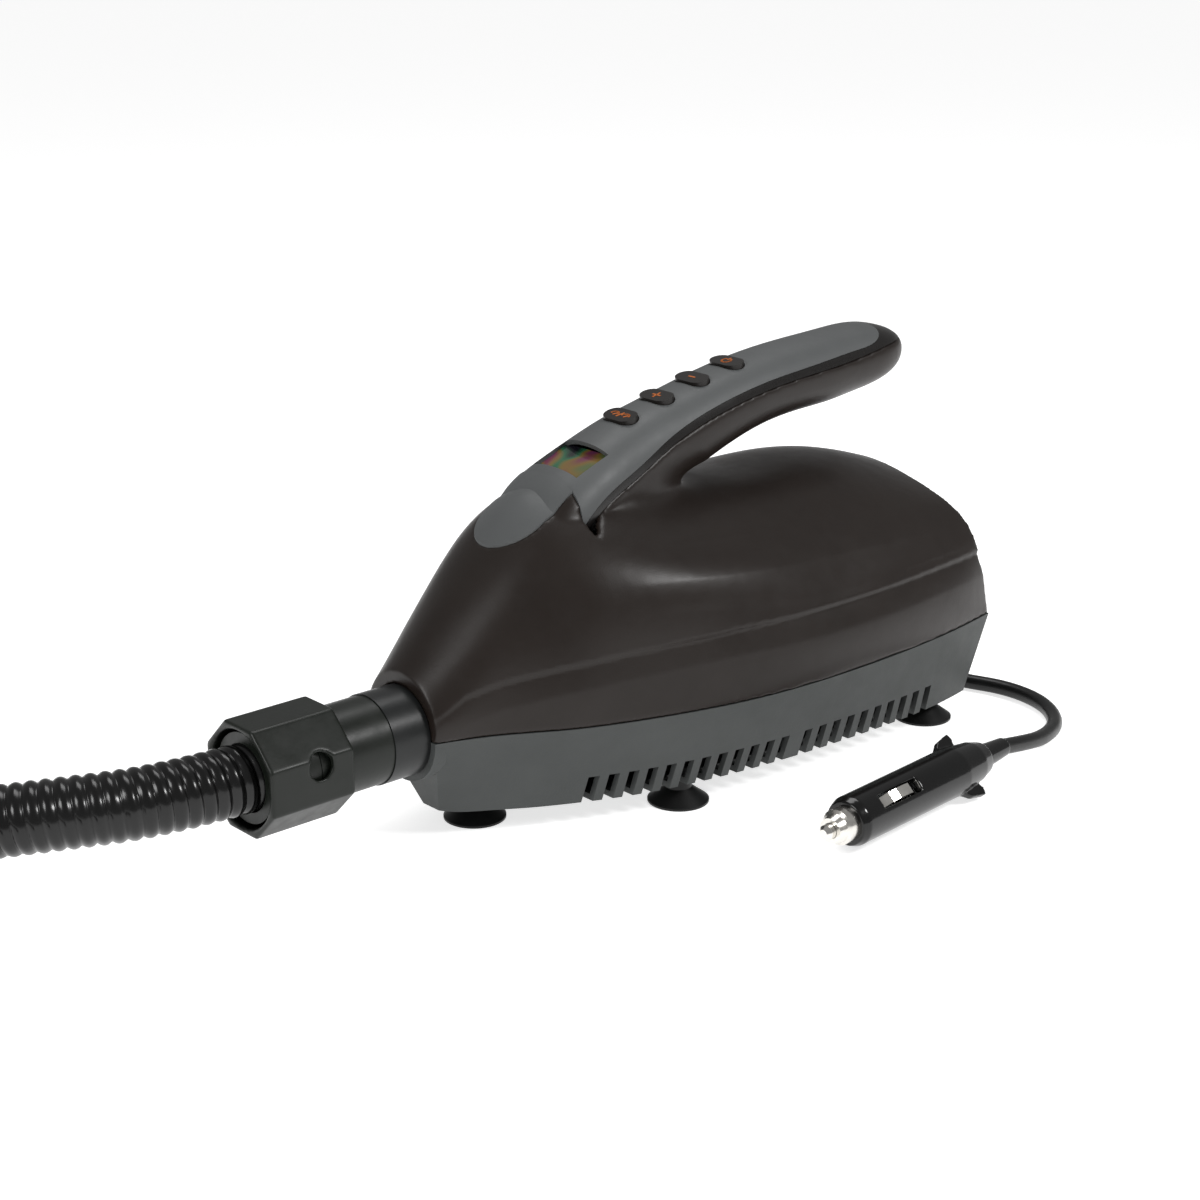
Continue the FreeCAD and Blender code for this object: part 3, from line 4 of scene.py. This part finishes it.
import bmesh
import bpy
import numpy as np
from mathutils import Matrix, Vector

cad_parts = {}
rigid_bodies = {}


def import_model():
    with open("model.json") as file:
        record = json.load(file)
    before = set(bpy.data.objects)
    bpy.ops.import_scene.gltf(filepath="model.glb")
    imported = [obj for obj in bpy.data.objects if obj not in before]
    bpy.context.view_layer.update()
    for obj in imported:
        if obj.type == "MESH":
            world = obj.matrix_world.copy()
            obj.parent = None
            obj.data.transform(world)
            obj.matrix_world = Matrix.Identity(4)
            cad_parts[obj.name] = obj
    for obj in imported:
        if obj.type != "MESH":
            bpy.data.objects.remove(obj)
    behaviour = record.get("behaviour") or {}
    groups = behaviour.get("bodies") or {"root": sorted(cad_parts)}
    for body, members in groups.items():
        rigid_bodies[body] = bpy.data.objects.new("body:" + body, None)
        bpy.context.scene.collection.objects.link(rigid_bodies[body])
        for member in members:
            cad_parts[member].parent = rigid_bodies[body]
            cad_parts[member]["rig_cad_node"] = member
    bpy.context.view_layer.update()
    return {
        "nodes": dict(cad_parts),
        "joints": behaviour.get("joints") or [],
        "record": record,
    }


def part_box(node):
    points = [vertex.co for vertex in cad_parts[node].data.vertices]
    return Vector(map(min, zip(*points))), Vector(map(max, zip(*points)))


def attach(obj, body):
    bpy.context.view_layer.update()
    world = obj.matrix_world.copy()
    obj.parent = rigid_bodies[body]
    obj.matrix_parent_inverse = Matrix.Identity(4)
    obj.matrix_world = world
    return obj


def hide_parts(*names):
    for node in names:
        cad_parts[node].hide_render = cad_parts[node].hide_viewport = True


# Looks of an electric air mattress pump. All lengths are in metres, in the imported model's frame:
# -X towards the outlet and the hose, +X towards the back end, +Z up.

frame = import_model()
nodes = frame["nodes"]


# ---------------------------------------------------------------- materials
def plastic(name, colour, roughness, grain=900.0, bump=0.15, mottle=0.06, coat=0.0, metallic=0.0, alpha=1.0,
            wear=0.12):
    """A moulded surface: colour that varies a little, grain in the bump and handling marks in the gloss."""
    material = bpy.data.materials.new(name)
    material.use_nodes = True
    tree = material.node_tree
    shader = tree.nodes["Principled BSDF"]
    shader.inputs["Metallic"].default_value = metallic
    shader.inputs["Coat Weight"].default_value = coat
    shader.inputs["Specular IOR Level"].default_value = 0.5 if metallic else 0.3
    shader.inputs["Coat Roughness"].default_value = 0.12
    shader.inputs["Alpha"].default_value = alpha
    place = tree.nodes.new("ShaderNodeTexCoord")

    broad = tree.nodes.new("ShaderNodeTexNoise")
    broad.inputs["Scale"].default_value = 38.0
    broad.inputs["Detail"].default_value = 5.0
    tree.links.new(place.outputs["Object"], broad.inputs["Vector"])
    ramp = tree.nodes.new("ShaderNodeValToRGB")
    dark = [channel * (1 - mottle) for channel in colour]
    light = [min(1.0, channel * (1 + mottle) + 0.02 * mottle) for channel in colour]
    ramp.color_ramp.elements[0].position = 0.3
    ramp.color_ramp.elements[1].position = 0.7
    ramp.color_ramp.elements[0].color = (*dark, 1)
    ramp.color_ramp.elements[1].color = (*light, 1)
    tree.links.new(broad.outputs["Fac"], ramp.inputs["Fac"])
    tree.links.new(ramp.outputs["Color"], shader.inputs["Base Color"])

    marks = tree.nodes.new("ShaderNodeTexNoise")
    marks.inputs["Scale"].default_value = 120.0
    marks.inputs["Detail"].default_value = 8.0
    marks.inputs["Roughness"].default_value = 0.65
    tree.links.new(place.outputs["Object"], marks.inputs["Vector"])
    spread = tree.nodes.new("ShaderNodeMapRange")
    spread.inputs["From Min"].default_value = 0.3
    spread.inputs["From Max"].default_value = 0.7
    spread.inputs["To Min"].default_value = roughness * (1 - wear)
    spread.inputs["To Max"].default_value = min(1.0, roughness * (1 + wear))
    tree.links.new(marks.outputs["Fac"], spread.inputs["Value"])
    tree.links.new(spread.outputs["Result"], shader.inputs["Roughness"])

    fine = tree.nodes.new("ShaderNodeTexNoise")
    fine.inputs["Scale"].default_value = grain
    fine.inputs["Detail"].default_value = 2.0
    tree.links.new(place.outputs["Object"], fine.inputs["Vector"])
    relief = tree.nodes.new("ShaderNodeBump")
    relief.inputs["Strength"].default_value = bump
    relief.inputs["Distance"].default_value = 0.0002
    tree.links.new(fine.outputs["Fac"], relief.inputs["Height"])
    tree.links.new(relief.outputs["Normal"], shader.inputs["Normal"])
    return material


def brushed(name, colour, roughness=0.25, scratches=400.0):
    """Bright metal with fine lines of wear."""
    return plastic(name, colour, roughness, grain=scratches, bump=0.05, mottle=0.1, metallic=1.0, wear=0.3)


def iridescent(name):
    """Dark display glass that shows green, amber and violet as its colour drifts over the surface."""
    material = plastic(name, (0.01, 0.01, 0.012), 0.08, grain=300.0, bump=0.01, coat=0.6)
    tree = material.node_tree
    shader = tree.nodes["Principled BSDF"]
    place = [node for node in tree.nodes if node.bl_idname == "ShaderNodeTexCoord"][0]
    drift = tree.nodes.new("ShaderNodeTexNoise")
    drift.inputs["Scale"].default_value = 55.0
    drift.inputs["Detail"].default_value = 1.0
    drift.inputs["Distortion"].default_value = 0.6
    tree.links.new(place.outputs["Object"], drift.inputs["Vector"])
    bands = tree.nodes.new("ShaderNodeValToRGB")
    bands.color_ramp.elements[0].position = 0.32
    bands.color_ramp.elements[0].color = (0.008, 0.008, 0.012, 1)
    bands.color_ramp.elements[1].position = 0.72
    bands.color_ramp.elements[1].color = (0.012, 0.008, 0.02, 1)
    green = (0.02, 0.11, 0.05)
    amber = (0.16, 0.10, 0.02)
    wine = (0.14, 0.03, 0.06)
    blue = (0.03, 0.03, 0.13)
    for position, colour in ((0.42, green), (0.49, amber), (0.55, wine), (0.62, blue)):
        element = bands.color_ramp.elements.new(position)
        element.color = (*colour, 1)
    tree.links.new(drift.outputs["Fac"], bands.inputs["Fac"])
    tree.links.new(bands.outputs["Color"], shader.inputs["Base Color"])
    return material


LOOKS = {
    "shell_dark": plastic("shell_dark", (0.0125, 0.0085, 0.0066), 0.37, grain=1400.0, bump=0.12, wear=0.1),
    "shell_grey": plastic("shell_grey", (0.050, 0.054, 0.053), 0.55, grain=1100.0, bump=0.3, wear=0.08),
    "trim_grey": plastic("trim_grey", (0.082, 0.086, 0.087), 0.5, grain=1300.0, bump=0.12),
    "rim_black": plastic("rim_black", (0.008, 0.007, 0.0065), 0.28, grain=700.0, bump=0.04, coat=0.1),
    "lens_dark": iridescent("lens_dark"),
    "button_dark": plastic("button_dark", (0.010, 0.008, 0.007), 0.3, grain=900.0, bump=0.05),
    "display": plastic("display", (0.06, 0.07, 0.06), 0.5),
    "silicone": plastic("silicone", (0.22, 0.22, 0.22), 0.7),
    "foot_rubber": plastic("foot_rubber", (0.005, 0.005, 0.005), 0.42, grain=500.0, bump=0.1),
    "board_green": plastic("board_green", (0.01, 0.09, 0.03), 0.45, grain=350.0, bump=0.2, mottle=0.2),
    "steel": brushed("steel", (0.55, 0.55, 0.54), 0.3),
    "brass": brushed("brass", (0.60, 0.42, 0.18), 0.3),
    "aluminium": brushed("aluminium", (0.62, 0.62, 0.64), 0.35),
    "duct_plastic": plastic("duct_plastic", (0.02, 0.02, 0.02), 0.5),
    "nylon": plastic("nylon", (0.70, 0.68, 0.60), 0.5, mottle=0.04),
    "clear_tube": plastic("clear_tube", (0.55, 0.55, 0.50), 0.3, alpha=0.6),
    "connector_black": plastic("connector_black", (0.010, 0.011, 0.011), 0.33, grain=800.0, bump=0.08),
    "nut_black": plastic("nut_black", (0.0065, 0.0085, 0.0062), 0.36, grain=600.0, bump=0.1, wear=0.2),
    "hose_black": plastic("hose_black", (0.0035, 0.0035, 0.0035), 0.22, grain=500.0, bump=0.05, coat=0.12),
    "cable_black": plastic("cable_black", (0.005, 0.005, 0.005), 0.34, grain=700.0, bump=0.08),
    "plug_black": plastic("plug_black", (0.0035, 0.0035, 0.0035), 0.16, grain=600.0, bump=0.03, coat=0.15),
    "nickel": brushed("nickel", (0.72, 0.70, 0.66), 0.22),
    "key_orange": plastic("key_orange", (0.42, 0.105, 0.012), 0.5, grain=900.0, bump=0.05),
    "fuse_glass": plastic("fuse_glass", (0.6, 0.65, 0.65), 0.1, alpha=0.6),
}


def dress(obj, look):
    """Give an object one of the looks, and the record's slot of that name."""
    obj.data.materials.clear()
    obj.data.materials.append(LOOKS[look])
    return obj


def dress_cad():
    """Every CAD node takes the look of its material slot."""
    for subpart in frame["record"]["subparts"]:
        node = nodes[subpart["node"]]
        node.data.materials.clear()
        node.data.materials.append(LOOKS[subpart["material_slot"]])


# ---------------------------------------------------------------- cords
HOSE_DIAMETER = 0.0274
HOSE_PITCH = 0.0054
HOSE_GROOVE = 0.0013
HOSE_RINGS = 1700
HOSE_SIDES = 28
HOSE_ROUTE = [(-0.194, 0, 0.0482), (-0.245, 0, 0.0482), (-0.290, 0.022, 0.047), (-0.326, 0.056, 0.040),
              (-0.362, 0.094, 0.027)]
HOSE_RING_CENTRE = (-0.4623, 0.018)
HOSE_RING_RADIUS = 0.112
HOSE_RING_STEP = 28
HOSE_CURL = (0, 0, 0, 0, 0, 0, 0, 0.003, 0.009)
HOSE_FLOOR = 0.0140

LEAD_DIAMETER = 0.007
LEAD_FLOOR = 0.0037
COIL_CENTRE = (0.072, 0.130)
COIL_RADII = (0.033, 0.040, 0.047)
COIL_LAYERS = (0.0185, 0.0115, 0.0046)
COIL_POINTS = 16


def hose_points():
    """The hose's route: out of the cuff, down to the floor, and part of the way round a ring."""
    points = list(HOSE_ROUTE)
    for step, curl in enumerate(HOSE_CURL):
        angle = math.radians(60 + HOSE_RING_STEP * step)
        radius = HOSE_RING_RADIUS - curl
        lift = 0.002 if step in (0, len(HOSE_CURL) - 1) else 0.0
        points.append((HOSE_RING_CENTRE[0] + radius * math.cos(angle),
                       HOSE_RING_CENTRE[1] + radius * math.sin(angle), HOSE_FLOOR + lift))
    return points


def coil_points():
    """The coil's turns: three layers of three, from the top inner turn down to the outer one on the floor."""
    turns = [(radius, height) for index, height in enumerate(COIL_LAYERS)
             for radius in (COIL_RADII if index % 2 == 0 else COIL_RADII[::-1])]
    points = []
    steps = int((len(turns) - 0.5) * COIL_POINTS)
    for step in range(1, steps):
        turn = step / COIL_POINTS
        first = turns[int(turn)]
        second = turns[min(int(turn) + 1, len(turns) - 1)]
        share = max(0.0, (turn % 1 - 0.7) / 0.3)
        share = share * share * (3 - 2 * share)
        radius = first[0] + (second[0] - first[0]) * share
        height = first[1] + (second[1] - first[1]) * share
        angle = math.pi / 2 + 2 * math.pi * turn
        points.append((COIL_CENTRE[0] + radius * math.cos(angle),
                       COIL_CENTRE[1] + radius * math.sin(angle), height))
    return points


def lead_points():
    """The lead's route: from the gland to the coil behind the housing, its turns, and on to the plug."""
    near = [(0.1625, 0.022, 0.0207), (0.183, 0.0235, 0.015), (0.2005, 0.035, 0.0085), (0.2105, 0.053, 0.0042),
            (0.211, 0.076, LEAD_FLOOR), (0.2035, 0.099, LEAD_FLOOR), (0.188, 0.119, LEAD_FLOOR),
            (0.167, 0.135, 0.006), (0.143, 0.147, 0.011), (0.119, 0.1565, 0.0155), (0.098, 0.163, 0.0187)]
    far = [(0.121, 0.084, LEAD_FLOOR), (0.1415, 0.0735, LEAD_FLOOR), (0.1535, 0.053, LEAD_FLOOR),
           (0.1555, 0.030, LEAD_FLOOR), (0.1525, 0.009, LEAD_FLOOR), (0.1535, -0.014, LEAD_FLOOR),
           (0.158, -0.036, LEAD_FLOOR), (0.167, -0.0585, LEAD_FLOOR), (0.1637, -0.0823, LEAD_FLOOR),
           (0.149, -0.1012, LEAD_FLOOR), (0.1275, -0.1108, 0.0055), (0.108, -0.115, 0.0093),
           (0.091, -0.1165, 0.0126)]
    return near + coil_points() + far


def cord_curve(name, points, radius):
    """A smooth cord with the route's points as its control points."""
    data = bpy.data.curves.new(name, "CURVE")
    data.dimensions = "3D"
    spline = data.splines.new("NURBS")
    spline.points.add(len(points) - 1)
    for slot, point in zip(spline.points, points):
        slot.co = (*point, 1)
    spline.order_u = 3
    spline.use_endpoint_u = True
    data.resolution_u = 8
    data.bevel_depth = radius
    data.bevel_resolution = 6
    data.use_fill_caps = True
    obj = bpy.data.objects.new(name, data)
    bpy.context.scene.collection.objects.link(obj)
    return obj


def line_points(points):
    """Evenly dense points along the smooth line of a route."""
    guide = cord_curve("guide", points, 0.0)
    guide.data.resolution_u = 24
    bpy.context.view_layer.update()
    mesh = bpy.data.meshes.new_from_object(guide.evaluated_get(bpy.context.evaluated_depsgraph_get()))
    line = np.array([vertex.co for vertex in mesh.vertices])
    bpy.data.objects.remove(guide)
    bpy.data.meshes.remove(mesh)
    return line


def resample(line, count):
    """Points at equal distances along a line."""
    steps = np.linalg.norm(np.diff(line, axis=0), axis=1)
    reach = np.concatenate([[0], np.cumsum(steps)])
    wanted = np.linspace(0, reach[-1], count)
    return np.stack([np.interp(wanted, reach, line[:, axis]) for axis in range(3)], axis=1)


def tube_mesh(name, spots, radius_at, sides):
    """A closed tube round a line; radius_at gives each ring's radii from its distance and the angles."""
    tangents = np.gradient(spots, axis=0)
    tangents /= np.linalg.norm(tangents, axis=1)[:, None]
    normals = np.zeros_like(spots)
    up = np.array([0.0, 0.0, 1.0])
    normal = up - tangents[0] * up.dot(tangents[0])
    for index, tangent in enumerate(tangents):
        normal = normal - tangent * normal.dot(tangent)
        normal /= np.linalg.norm(normal)
        normals[index] = normal
    sideways = np.cross(tangents, normals)
    distance = np.concatenate([[0], np.cumsum(np.linalg.norm(np.diff(spots, axis=0), axis=1))])
    angles = np.linspace(0, 2 * math.pi, sides, endpoint=False)
    radii = radius_at(distance[:, None], angles[None, :])
    rings = (spots[:, None, :] + radii[:, :, None] * (np.cos(angles)[None, :, None] * normals[:, None, :]
                                                      + np.sin(angles)[None, :, None] * sideways[:, None, :]))
    return closed_tube(name, rings)


def closed_tube(name, rings):
    """A smooth mesh over rings of points, with a cap on each end."""
    count, sides = rings.shape[:2]
    faces = []
    for row in range(count - 1):
        for column in range(sides):
            after = (column + 1) % sides
            faces.append((row * sides + column, row * sides + after, (row + 1) * sides + after,
                          (row + 1) * sides + column))
    faces.append(tuple(reversed(range(sides))))
    faces.append(tuple((count - 1) * sides + column for column in range(sides)))
    mesh = bpy.data.meshes.new(name)
    mesh.from_pydata([tuple(point) for point in rings.reshape(-1, 3)], [], faces)
    mesh.update()
    mesh.shade_smooth()
    obj = bpy.data.objects.new(name, mesh)
    bpy.context.scene.collection.objects.link(obj)
    return obj


def make_hose():
    """The corrugated hose: a helical rib on a thin wall."""
    line = resample(line_points(hose_points()), HOSE_RINGS)

    def rib(distance, angle):
        phase = distance / HOSE_PITCH - angle / (2 * math.pi)
        wave = 0.5 + 0.5 * np.cos(2 * math.pi * phase)
        return HOSE_DIAMETER / 2 - HOSE_GROOVE * (1 - wave ** 0.4)

    hose = tube_mesh("hose", line, rib, HOSE_SIDES)
    dress(hose, "hose_black")
    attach(hose, "housing")
    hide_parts("air_hose")


def make_lead():
    """The 12 V lead in one piece with the turns of its coil."""
    lead = cord_curve("lead", lead_points(), LEAD_DIAMETER / 2)
    dress(lead, "cable_black")
    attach(lead, "housing")
    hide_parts("power_cable_near", "power_cable_coil", "power_cable_far")


# ---------------------------------------------------------------- softened shells
# Lines on the upper shell, as X and the Z at each: the lower crease, the deck's edge and the lower edge
# of the handle's rim.
CREASE = ([-0.142, -0.129, -0.114, -0.093, -0.071, -0.045, -0.018, 0.027, 0.130],
          [0.058, 0.066, 0.070, 0.074, 0.0765, 0.078, 0.079, 0.079, 0.079])
DECK_EDGE = ([-0.071, -0.045, -0.018, 0.027, 0.076, 0.104, 0.130],
             [0.102, 0.1015, 0.099, 0.0955, 0.093, 0.092, 0.0916])
RIM_LINE = ([-0.066, -0.050, -0.031, -0.017, -0.002, 0.020, 0.046],
            [0.1176, 0.1286, 0.1366, 0.1432, 0.1488, 0.1546, 0.159])
# One side of the line where the handle leaves the deck.
ROOT = [(-0.060, 0.0228, 0.122), (-0.045, 0.0218, 0.122), (-0.030, 0.020, 0.122), (-0.018, 0.0165, 0.122),
        (-0.010, 0.011, 0.122), (-0.006, 0.0, 0.122)]
# The fillet is full near ROOT and eases off away from it, towards the front and towards the rim.
FILLET_REACH = 0.024
FILLET_EASE = 0.012
FILLET_FRONT = -0.052
FILLET_FRONT_EASE = 0.022
FILLET_ROUNDS = 320
RIM_GAP = 0.003
RIM_EASE = 0.006
# Below the crease the wall steps in and fades back out.
LIP_DEPTH = 0.0011
LIP_EDGE = 0.0012
LIP_FADE = 0.011
LIP_CEILING = 0.09
LIP_INSIDE = 0.018
LIP_INSIDE_EASE = 0.01
# The deck's edge is a low ridge that fades out above, below and at both ends.
RIDGE_HEIGHT = 0.0011
RIDGE_REACH = 0.012
RIDGE_FLOOR = 0.082
RIDGE_FRONT = -0.066
RIDGE_BACK = 0.13
RIDGE_EASE = 0.03
RIDGE_INSIDE = 0.03


def dense_mesh(node, voxel):
    """A CAD node's outside as an even mesh, in the row frame."""
    copy = bpy.data.objects.new("dense", node.data.copy())
    copy.matrix_world = node.matrix_world
    bpy.context.scene.collection.objects.link(copy)
    remesh = copy.modifiers.new("even", "REMESH")
    remesh.mode = "VOXEL"
    remesh.voxel_size = voxel
    bpy.context.view_layer.update()
    mesh = bpy.data.meshes.new_from_object(copy.evaluated_get(bpy.context.evaluated_depsgraph_get()))
    mesh.transform(node.matrix_world)
    bpy.data.objects.remove(copy)
    return mesh


def relax(points, edges, weight, rounds):
    """Points drawn towards their neighbours' middle, as far as each one's weight lets them."""
    count = np.bincount(edges.ravel(), minlength=len(points)).clip(1)[:, None]
    for _ in range(rounds):
        total = np.zeros_like(points)
        for axis in range(3):
            total[:, axis] = (np.bincount(edges[:, 0], points[edges[:, 1], axis], minlength=len(points))
                              + np.bincount(edges[:, 1], points[edges[:, 0], axis], minlength=len(points)))
        points = points + weight[:, None] * (total / count - points)
    return points


def soften(name, voxel, rounds, shape=None):
    """A CAD node with its facets smoothed away, reshaped by a function of its points if one is given."""
    node = nodes[name]
    mesh = dense_mesh(node, voxel)
    points = np.empty(len(mesh.vertices) * 3)
    mesh.vertices.foreach_get("co", points)
    points = points.reshape(-1, 3)
    edges = np.empty(len(mesh.edges) * 2, dtype=np.int64)
    mesh.edges.foreach_get("vertices", edges)
    edges = edges.reshape(-1, 2)
    points = relax(points, edges, np.full(len(points), 0.5), rounds)
    if shape:
        points = shape(points, edges, mesh)
    mesh.vertices.foreach_set("co", points.ravel())
    mesh.update()
    mesh.shade_smooth()
    piece = bpy.data.objects.new(name + "_skin", mesh)
    bpy.context.scene.collection.objects.link(piece)
    return piece


def rise(value, ease):
    """0 up to 0, then rising to 1 over the ease."""
    return np.clip(value / ease, 0, 1)


def fillet(points, edges):
    """The points with the handle's root drawn into a soft hollow, clear of the trim above it."""
    root = np.array(ROOT + [(x, -y, z) for x, y, z in ROOT])
    away = np.full(len(points), 1.0)
    for spot in root:
        away = np.minimum(away, np.linalg.norm(points - spot, axis=1))
    x, z = points[:, 0], points[:, 2]
    under_rim = np.interp(x, *RIM_LINE) - z
    weight = rise(FILLET_REACH - away, FILLET_EASE) * rise(x - FILLET_FRONT, FILLET_FRONT_EASE)
    weight = weight * rise(under_rim - RIM_GAP, RIM_EASE)
    return relax(points, edges, 0.5 * weight, FILLET_ROUNDS)


def shape_upper(points, edges, mesh):
    """The fillet under the handle, the lower crease and the deck's edge."""
    x, y, z = points.T.copy()
    points = fillet(points, edges)
    mesh.vertices.foreach_set("co", points.ravel())
    mesh.update()
    normals = np.empty(len(mesh.vertices) * 3)
    mesh.vertices.foreach_get("normal", normals)
    normals = normals.reshape(-1, 3)
    middle = points * np.array([0.55, 0.0, 0.0]) + np.array([0.0, 0.0, 0.070])
    outside = (np.einsum("ij,ij->i", normals, points - middle) > 0) & (y * normals[:, 1] > 0)
    below = np.interp(x, *CREASE) - z
    lip = rise(below, LIP_EDGE) * np.clip(1 - below / LIP_FADE, 0, 1)
    lip = lip * rise(np.abs(y) - LIP_INSIDE, LIP_INSIDE_EASE) * (z < LIP_CEILING)
    off_edge = np.abs(np.interp(x, *DECK_EDGE) - z)
    ridge = np.clip(1 - off_edge / RIDGE_REACH, 0, 1)
    ridge = ridge * rise(x - RIDGE_FRONT, RIDGE_EASE) * rise(RIDGE_BACK - x, RIDGE_EASE)
    ridge = ridge * (z > RIDGE_FLOOR) * (np.abs(y) > RIDGE_INSIDE)
    move = RIDGE_HEIGHT * ridge - LIP_DEPTH * lip
    return points + normals * (move * outside)[:, None]


def make_shells():
    """Softened skins for the pieces whose moulding shows."""
    skin = soften("upper_shell", voxel=0.0011, rounds=2, shape=shape_upper)
    dress(skin, "shell_dark")
    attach(skin, "housing")
    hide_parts("upper_shell")
    nut = soften("coupling_nut", voxel=0.0007, rounds=4)
    dress(nut, "nut_black")
    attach(nut, "nut")
    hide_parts("coupling_nut")
    plug = soften("plug_body", voxel=0.0004, rounds=6)
    dress(plug, "plug_black")
    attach(plug, "housing")
    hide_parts("plug_body")


# ---------------------------------------------------------------- marks on the keys
KEY_HEIGHT = 0.0053
MARK_LIFT = 0.00002
MARK_THICKNESS = 0.00006
STROKE_HALF_WIDTH = 0.00045


def stroke(outline):
    """Corner points of the quads along a line drawn on a key, as (across, along) pairs."""
    quads = []
    for first, second in zip(outline, outline[1:]):
        way = Vector(second) - Vector(first)
        way.normalize()
        side = Vector((-way.y, way.x)) * STROKE_HALF_WIDTH
        reach = way * STROKE_HALF_WIDTH * 0.6
        start = Vector(first) - reach
        finish = Vector(second) + reach
        quads.append([start - side, start + side, finish + side, finish - side])
    return quads


def arc(radius, start, finish, steps=14):
    """Points on a circle between two angles in degrees."""
    spread = [math.radians(start + (finish - start) * step / steps) for step in range(steps + 1)]
    return [(radius * math.cos(angle), radius * math.sin(angle)) for angle in spread]


def make_mark(key, quads):
    """A printed mark on a key's face that rides with the key; the key's joint gives its way out."""
    joint = [joint for joint in frame["joints"] if joint["name"] == key + "_press"][0]
    normal = -Vector(joint["axis"])
    across = Vector((0, 1, 0))
    ahead = across.cross(normal)
    low_corner, high_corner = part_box(key + "_button")
    face = (Vector(low_corner) + Vector(high_corner)) / 2 + normal * (KEY_HEIGHT / 2 + MARK_LIFT)
    shape = bmesh.new()
    for quad in quads:
        low = [shape.verts.new(face - across * corner.x + ahead * corner.y) for corner in quad]
        high = [shape.verts.new(vert.co + normal * MARK_THICKNESS) for vert in low]
        shape.faces.new(high)
        shape.faces.new(list(reversed(low)))
        for index in range(4):
            after = (index + 1) % 4
            shape.faces.new((low[index], low[after], high[after], high[index]))
    bmesh.ops.recalc_face_normals(shape, faces=shape.faces[:])
    mesh = bpy.data.meshes.new(key + "_mark")
    shape.to_mesh(mesh)
    shape.free()
    mark = bpy.data.objects.new(key + "_mark", mesh)
    bpy.context.scene.collection.objects.link(mark)
    mark.data.materials.append(LOOKS["key_orange"])
    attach(mark, key + "_key")


def make_marks():
    """A power ring, a minus, a plus, and two gauges with a stroke between them in place of lettering."""
    make_mark("power", stroke(arc(0.0021, 130, 410)) + stroke([(0, 0.0008), (0, 0.0027)]))
    make_mark("minus", stroke([(-0.0017, 0), (0.0017, 0)]))
    make_mark("plus", stroke([(-0.0021, 0), (0.0021, 0)]) + stroke([(0, -0.0021), (0, 0.0021)]))
    gauge = stroke([(p[0] - 0.0032, p[1] - 0.0008) for p in arc(0.0022, 20, 160, 8)])
    gauge += stroke([(p[0] + 0.0032, p[1] - 0.0008) for p in arc(0.0022, 20, 160, 8)])
    gauge += stroke([(-0.0032, -0.001), (-0.0022, 0.0004)]) + stroke([(0.0032, -0.001), (0.0042, 0.0004)])
    gauge += stroke([(-0.0007, -0.0016), (0.0007, 0.0016)])
    make_mark("units", gauge)


# ---------------------------------------------------------------- camera, light, floor
CAMERA_PLACE = Vector((-0.6768, -0.7150, 0.4048))
CAMERA_AIM = Vector((0.6316, 0.7053, -0.3220))
CAMERA_LENS = 72.33
SENSOR_WIDTH = 36.0
SKY_STRENGTH = 0.30
FLOOR_REACH = 6.0
FLOOR_DROP = 0.0002
FLOOR_GLOW = 0.70


def make_camera():
    """The camera of the reference view."""
    data = bpy.data.cameras.new("camera")
    data.sensor_width = SENSOR_WIDTH
    data.lens = CAMERA_LENS
    camera = bpy.data.objects.new("camera", data)
    camera.location = CAMERA_PLACE
    camera.rotation_euler = CAMERA_AIM.to_track_quat("-Z", "Y").to_euler()
    bpy.context.scene.collection.objects.link(camera)
    bpy.context.scene.camera = camera


def area_light(name, place, aim, power, width, depth):
    """A soft light that points at a spot."""
    data = bpy.data.lights.new(name, "AREA")
    data.energy = power
    data.shape = "RECTANGLE"
    data.size = width
    data.size_y = depth
    light = bpy.data.objects.new(name, data)
    light.location = place
    light.rotation_euler = (Vector(aim) - Vector(place)).to_track_quat("-Z", "Y").to_euler()
    bpy.context.scene.collection.objects.link(light)


def make_studio():
    """A white floor, an even pale sky and a few soft lights."""
    world = bpy.data.worlds.new("studio")
    world.use_nodes = True
    world.node_tree.nodes["Background"].inputs["Color"].default_value = (1.0, 1.0, 1.0, 1)
    world.node_tree.nodes["Background"].inputs["Strength"].default_value = SKY_STRENGTH
    bpy.context.scene.world = world
    bpy.context.scene.view_settings.view_transform = "Standard"
    mesh = bpy.data.meshes.new("floor")
    corners = [(-FLOOR_REACH, -FLOOR_REACH, 0), (FLOOR_REACH, -FLOOR_REACH, 0),
               (FLOOR_REACH, FLOOR_REACH, 0), (-FLOOR_REACH, FLOOR_REACH, 0)]
    mesh.from_pydata(corners, [], [(0, 1, 2, 3)])
    floor = bpy.data.objects.new("floor", mesh)
    floor.location = (0, 0, -FLOOR_DROP)
    bpy.context.scene.collection.objects.link(floor)
    white = plastic("floor", (0.80, 0.80, 0.80), 0.9, grain=60.0, bump=0.02, mottle=0.01)
    white.node_tree.nodes["Principled BSDF"].inputs["Emission Color"].default_value = (1, 1, 1, 1)
    white.node_tree.nodes["Principled BSDF"].inputs["Emission Strength"].default_value = FLOOR_GLOW
    floor.data.materials.append(white)
    area_light("top", (0.25, 0.35, 1.2), (0, 0, 0.05), power=5.0, width=0.7, depth=0.5)
    area_light("left", (-1.1, -0.1, 0.75), (0, 0, 0.1), power=5.5, width=0.4, depth=0.4)
    area_light("front", (0.45, -1.0, 0.95), (0, 0, 0.06), power=9.0, width=0.3, depth=0.25)


def main():
    """Dress the CAD nodes, make the skins, marks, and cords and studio."""
    dress_cad()
    make_camera()
    make_studio()
    make_shells()
    make_marks()
    make_hose()
    make_lead()


main()
